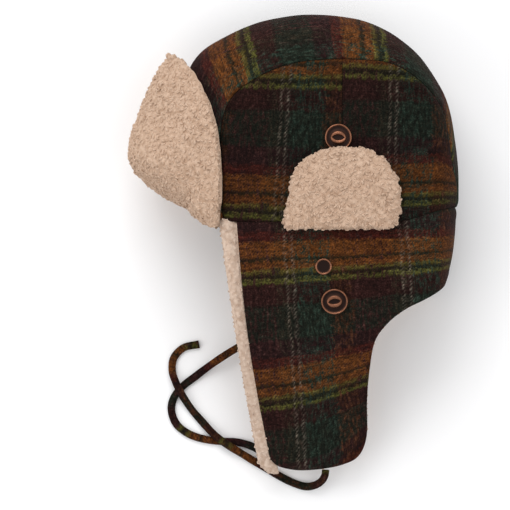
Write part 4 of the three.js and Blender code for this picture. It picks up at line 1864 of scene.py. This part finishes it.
@dataclass
class Snaps:
    """The copper snaps and the ring stud on the left side.

    Args:
        looks: the finishes.
        radius: radius of a snap.
        stud: radius of the ring stud.
        eye: half the width and half the height of a snap's eye, against its radius.
        lens: the same for the raised oval round the eye.
        sides: how many faces go round.
        reach: how far from its middle a piece rests on the hat.
        proud: how far it stands off.
        places: the solid, x, y, rings and lean in degrees of each.
    """

    looks: Finishes
    radius: float = 11.3
    stud: float = 7.0
    eye: tuple[float, float] = (0.45, 0.20)
    lens: tuple[float, float] = (0.56, 0.46)
    sides: int = 72
    reach: float = 6.0
    proud: float = 0.3
    places: tuple[tuple[str, float, float, Rows, float], ...] = (
        ("snap_crown_left", -0.4, 70.2, SNAP_RINGS, -3.0),
        ("snap_flap_left", -3.4, -65.8, SNAP_RINGS, 8.0),
        ("ring_stud_left", -12.6, -37.0, STUD_RINGS, 0.0),
    )

    def pointed_oval(self, turn: Array, wide: float, high: float) -> Array:
        """Radius of a pointed oval.

        Args:
            turn: directions, in radians.
            wide: half its width.
            high: half its height.

        Returns:
            Its radius in each direction.
        """
        bow = (wide**2 - high**2) / (2 * high)
        arc = bow + high
        side = bow * np.abs(np.sin(turn))
        return np.sqrt(arc**2 - bow**2 + side**2) - side

    def oval(self, turn: Array, wide: float, high: float) -> Array:
        """Radius of an ellipse in each direction."""
        return wide * high / np.hypot(high * np.cos(turn), wide * np.sin(turn))

    def seat(self, x: float, y: float, lean: float) -> Matrix:
        """Where a round piece sits, square to the left face.

        Args:
            x: its x.
            y: its y.
            lean: how far it is turned on its seat, in degrees.

        Returns:
            The matrix that puts it there, in millimetres.
        """
        step = self.reach
        heights = [float(FORM.left_height(np.array(x + dx), np.array(y + dy)))
                   for dx, dy in ((step, 0), (-step, 0), (0, step), (0, -step), (0, 0))]
        slope = Vector((heights[1] - heights[0], heights[3] - heights[2], 2 * step)).normalized()
        turned = Vector((0, 0, 1)).rotation_difference(slope).to_matrix().to_4x4()
        place = Vector((x, y, heights[4])) + slope * self.proud
        return Matrix.Translation(place) @ turned @ Matrix.Rotation(math.radians(lean), 4, "Z")

    def build(self) -> None:
        """Makes the snaps and the ring stud."""
        turn = np.linspace(0, 2 * math.pi, self.sides, endpoint=False)
        eye = self.pointed_oval(turn, *(share * self.radius for share in self.eye))
        lens = self.oval(turn, *(share * self.radius for share in self.lens))
        for node, x, y, rings, lean in self.places:
            whole = self.radius if rings is SNAP_RINGS else self.stud
            seat, points, rubbed = self.seat(x, y, lean), [], []
            for index, angle in enumerate(turn):
                for of_eye, of_lens, of_whole, height, wear in rings:
                    r = of_eye * eye[index] + of_lens * lens[index] + of_whole * whole
                    place = Vector((r * math.cos(angle), r * math.sin(angle), height))
                    points.append(seat @ place)
                    rubbed.append(wear)
            cells = grid_faces(self.sides, len(rings), closed=True)
            piece = solid("copper_" + node, np.array(points), cells, turn_out=True, rubbed=rubbed)
            place_piece(piece, node, self.looks.copper)


@dataclass
class Ties:
    """The two ties: narrow folded tapes that lie loose on the surface.

    Args:
        looks: the finishes.
        width: width of a tie.
        thickness: its thickness.
        groove: depth and half width of the groove along its seam.
        sides: points round its section.
        step: distance between two sections.
        fine: how many places the route is measured at.
        path: how many places the tie's middle line is measured at; these places are not used.
        cuts: the solid, the route, where in the plaid's repeat it starts and which stripe it is
            cut along, for each tie.
    """

    looks: Finishes
    width: float = 6.4
    thickness: float = 3.0
    groove: tuple[float, float] = (0.32, 0.45)
    sides: int = 20
    step: float = 1.6
    fine: int = 2400
    path: int = 160
    cuts: tuple[tuple[str, Rows, float, float], ...] = (
        ("tie_left", LEFT_TIE_ROUTE, 3.0, 44.0),
        ("tie_right", RIGHT_TIE_ROUTE, 34.0, 60.0),
    )

    def build(self) -> None:
        """Makes both ties."""
        for cut in self.cuts:
            self.tie(*cut)

    def section(self) -> tuple[Array, Array]:
        """The tape's section.

        Returns:
            Places across and through the tape, all round it.
        """
        turn = np.linspace(0, 2 * math.pi, self.sides, endpoint=False)
        wide = np.sign(np.cos(turn)) * np.abs(np.cos(turn)) ** 0.75 * self.width / 2
        thick = np.sign(np.sin(turn)) * np.abs(np.sin(turn)) ** 0.8 * self.thickness / 2
        deep, narrow = self.groove
        groove = deep * np.exp(-((wide - self.width * 0.3) / narrow) ** 2) * (thick > 0)
        return wide, thick - groove

    def tie(self, name: str, route: Rows, start: float, across: float) -> None:
        """Makes one tie.

        Args:
            name: the solid that it stands for.
            route: the places that it runs through.
            start: where in the plaid's repeat it starts.
            across: which stripe of the plaid it is cut along.
        """
        fine = smooth_route(route, self.fine)
        length = float(np.sum(strides(fine)))
        line = even_route(fine, round(length / self.step) + 1)
        along = np.gradient(line, axis=0)
        along /= np.linalg.norm(along, axis=1, keepdims=True)
        side = np.cross(along, (0, 0, 1))
        side /= np.linalg.norm(side, axis=1, keepdims=True)
        up = np.cross(side, along)
        wide, thick = self.section()
        wave = 1 + 0.05 * noise(line, 9, 3)
        rings = (line[:, None, :] + side[:, None, :] * (wide[None, :] * wave[:, None])[..., None]
                 + up[:, None, :] * thick[None, :, None])
        ends = [end.repeat(self.sides, 0)[None] for end in (line[:1], line[-1:])]
        grid = np.moveaxis(np.concatenate([ends[0], rings, ends[1]]), 0, 1)
        rows, columns = grid.shape[:2]
        points = grid.reshape(-1, 3)
        points[:, 2] = np.maximum(points[:, 2], LOWEST)
        corner = grid_faces(rows, columns, closed=True)
        round_it = np.linspace(0, 2 * (self.width + self.thickness), rows, endpoint=False)
        place = np.concatenate([[0], np.linspace(0, length, len(line)), [length]])
        u = round_it[corner // columns]
        for near, far in ((0, 1), (3, 2)):
            closing = u[:, far] < u[:, near]
            u[:, far] = np.where(closing, u[:, near] + round_it[1], u[:, far])
        plaid = on_cloth(u + across, place[corner % columns] + start)
        piece = solid("cloth_" + name, points, corner, plaid, turn_out=True)
        place_piece(piece, name, self.looks.tie)
        path = even_route(fine, self.path) * MM


@dataclass
class Studio:
    """Floor, lights and camera.

    Args:
        lens: the camera's focal length, in millimetres.
        sensor: the width of its sensor.
        frame_width: width of the view at the hat's middle, in metres.
        aim: the middle of the view.
        floor: half the floor's width.
        lamps: name, place, size and power of each light.
        glow: strength of the light from all round.
    """

    lens: float = 500.0
    sensor: float = 36.0
    frame_width: float = 0.4284
    aim: tuple[float, float, float] = (-0.0697, -0.0277, 0.055)
    floor: float = 6.0
    lamps: tuple[tuple[str, tuple[float, float, float], float, float], ...] = (
        ("key_light", (-0.5, 1.7, 1.6), 1.6, 30.0),
        ("fill_light", (1.3, -0.4, 1.7), 1.8, 9.0),
        ("rim_light", (-1.5, -0.5, 1.2), 1.4, 9.0),
    )
    glow: float = 0.75

    def build(self) -> None:
        """Sets up the camera, the floor and the lights."""
        scene, aim = bpy.context.scene, Vector(self.aim)
        data = bpy.data.cameras.new("camera")
        data.lens, data.sensor_width, data.clip_end = self.lens, self.sensor, 50.0
        scene.camera = link("camera", data)
        distance = self.frame_width * self.lens / self.sensor
        scene.camera.location = aim + Vector((0, 0, distance))
        mesh = bpy.data.meshes.new("floor")
        corners = [(x * self.floor, y * self.floor, 0)
                   for x, y in ((-1, -1), (1, -1), (1, 1), (-1, 1))]
        mesh.from_pydata(corners, [], [(0, 1, 2, 3)])
        mesh.materials.append(Paper().make("paper"))
        link("floor", mesh)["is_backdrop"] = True
        for name, place, size, power in self.lamps:
            light = bpy.data.lights.new(name, "AREA")
            light.energy, light.size = power, size
            lamp = link(name, light)
            lamp.location = place
            lamp.rotation_euler = (aim - Vector(place)).to_track_quat("-Z", "Y").to_euler()
        scene.world = bpy.data.worlds.new("studio")
        scene.world.use_nodes = True
        background = scene.world.node_tree.nodes["Background"].inputs
        background["Color"].default_value = (1, 1, 1, 1)
        background["Strength"].default_value = self.glow
        scene.view_settings.view_transform = "Standard"


def corners(box: tuple[Vector, Vector]) -> list[list[float]]:
    """A box's two corners as plain lists."""
    return [[float(value) for value in corner] for corner in box]


def main() -> None:
    """Builds the whole hat."""
    logging.basicConfig(level=logging.INFO, format="%(message)s")
    Studio().build()
    looks = Finishes(
        wool=PlaidWool().make("plaid_wool"),
        # the crown's sides and the gusset are shaded and lit copies of the wool: painted shade and
        # painted light in their tone
        crown=PlaidWool(tone=0.44).make("plaid_crown_painted_shade"),
        gusset=PlaidWool(twin_strength=0.0, tone=0.66).make("plaid_gusset_painted_light"),
        tie=PlaidWool(soften=1.4, tone=0.55).make("plaid_tie"),
        sherpa=Sherpa().make("sherpa"),
        lining=Sherpa((208, 188, 172), (166, 140, 122), (200, 174, 154)).make("sherpa_lining"),
        copper=AntiqueCopper().make("antique_copper"),
    )
    short = PileCoat(lump=3.6, lump_height=1.2, spacing=4.0, radius=1.0, strand=0.5, sunk=0.5,
                     seed=12)
    for part in (
        Ties(looks),
        Crown(looks, PileCoat(spacing=6.0, seed=11)),
        EarFlaps(looks, short),
        Peak(looks, PileCoat(seed=13)),
        EarCovers(looks, PileCoat(seed=14)),
        Snaps(looks),
    ):
        part.build()
    {"cad": corners(CAD_BOX), "visual": corners(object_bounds())}


if __name__ == "__main__":
    main()
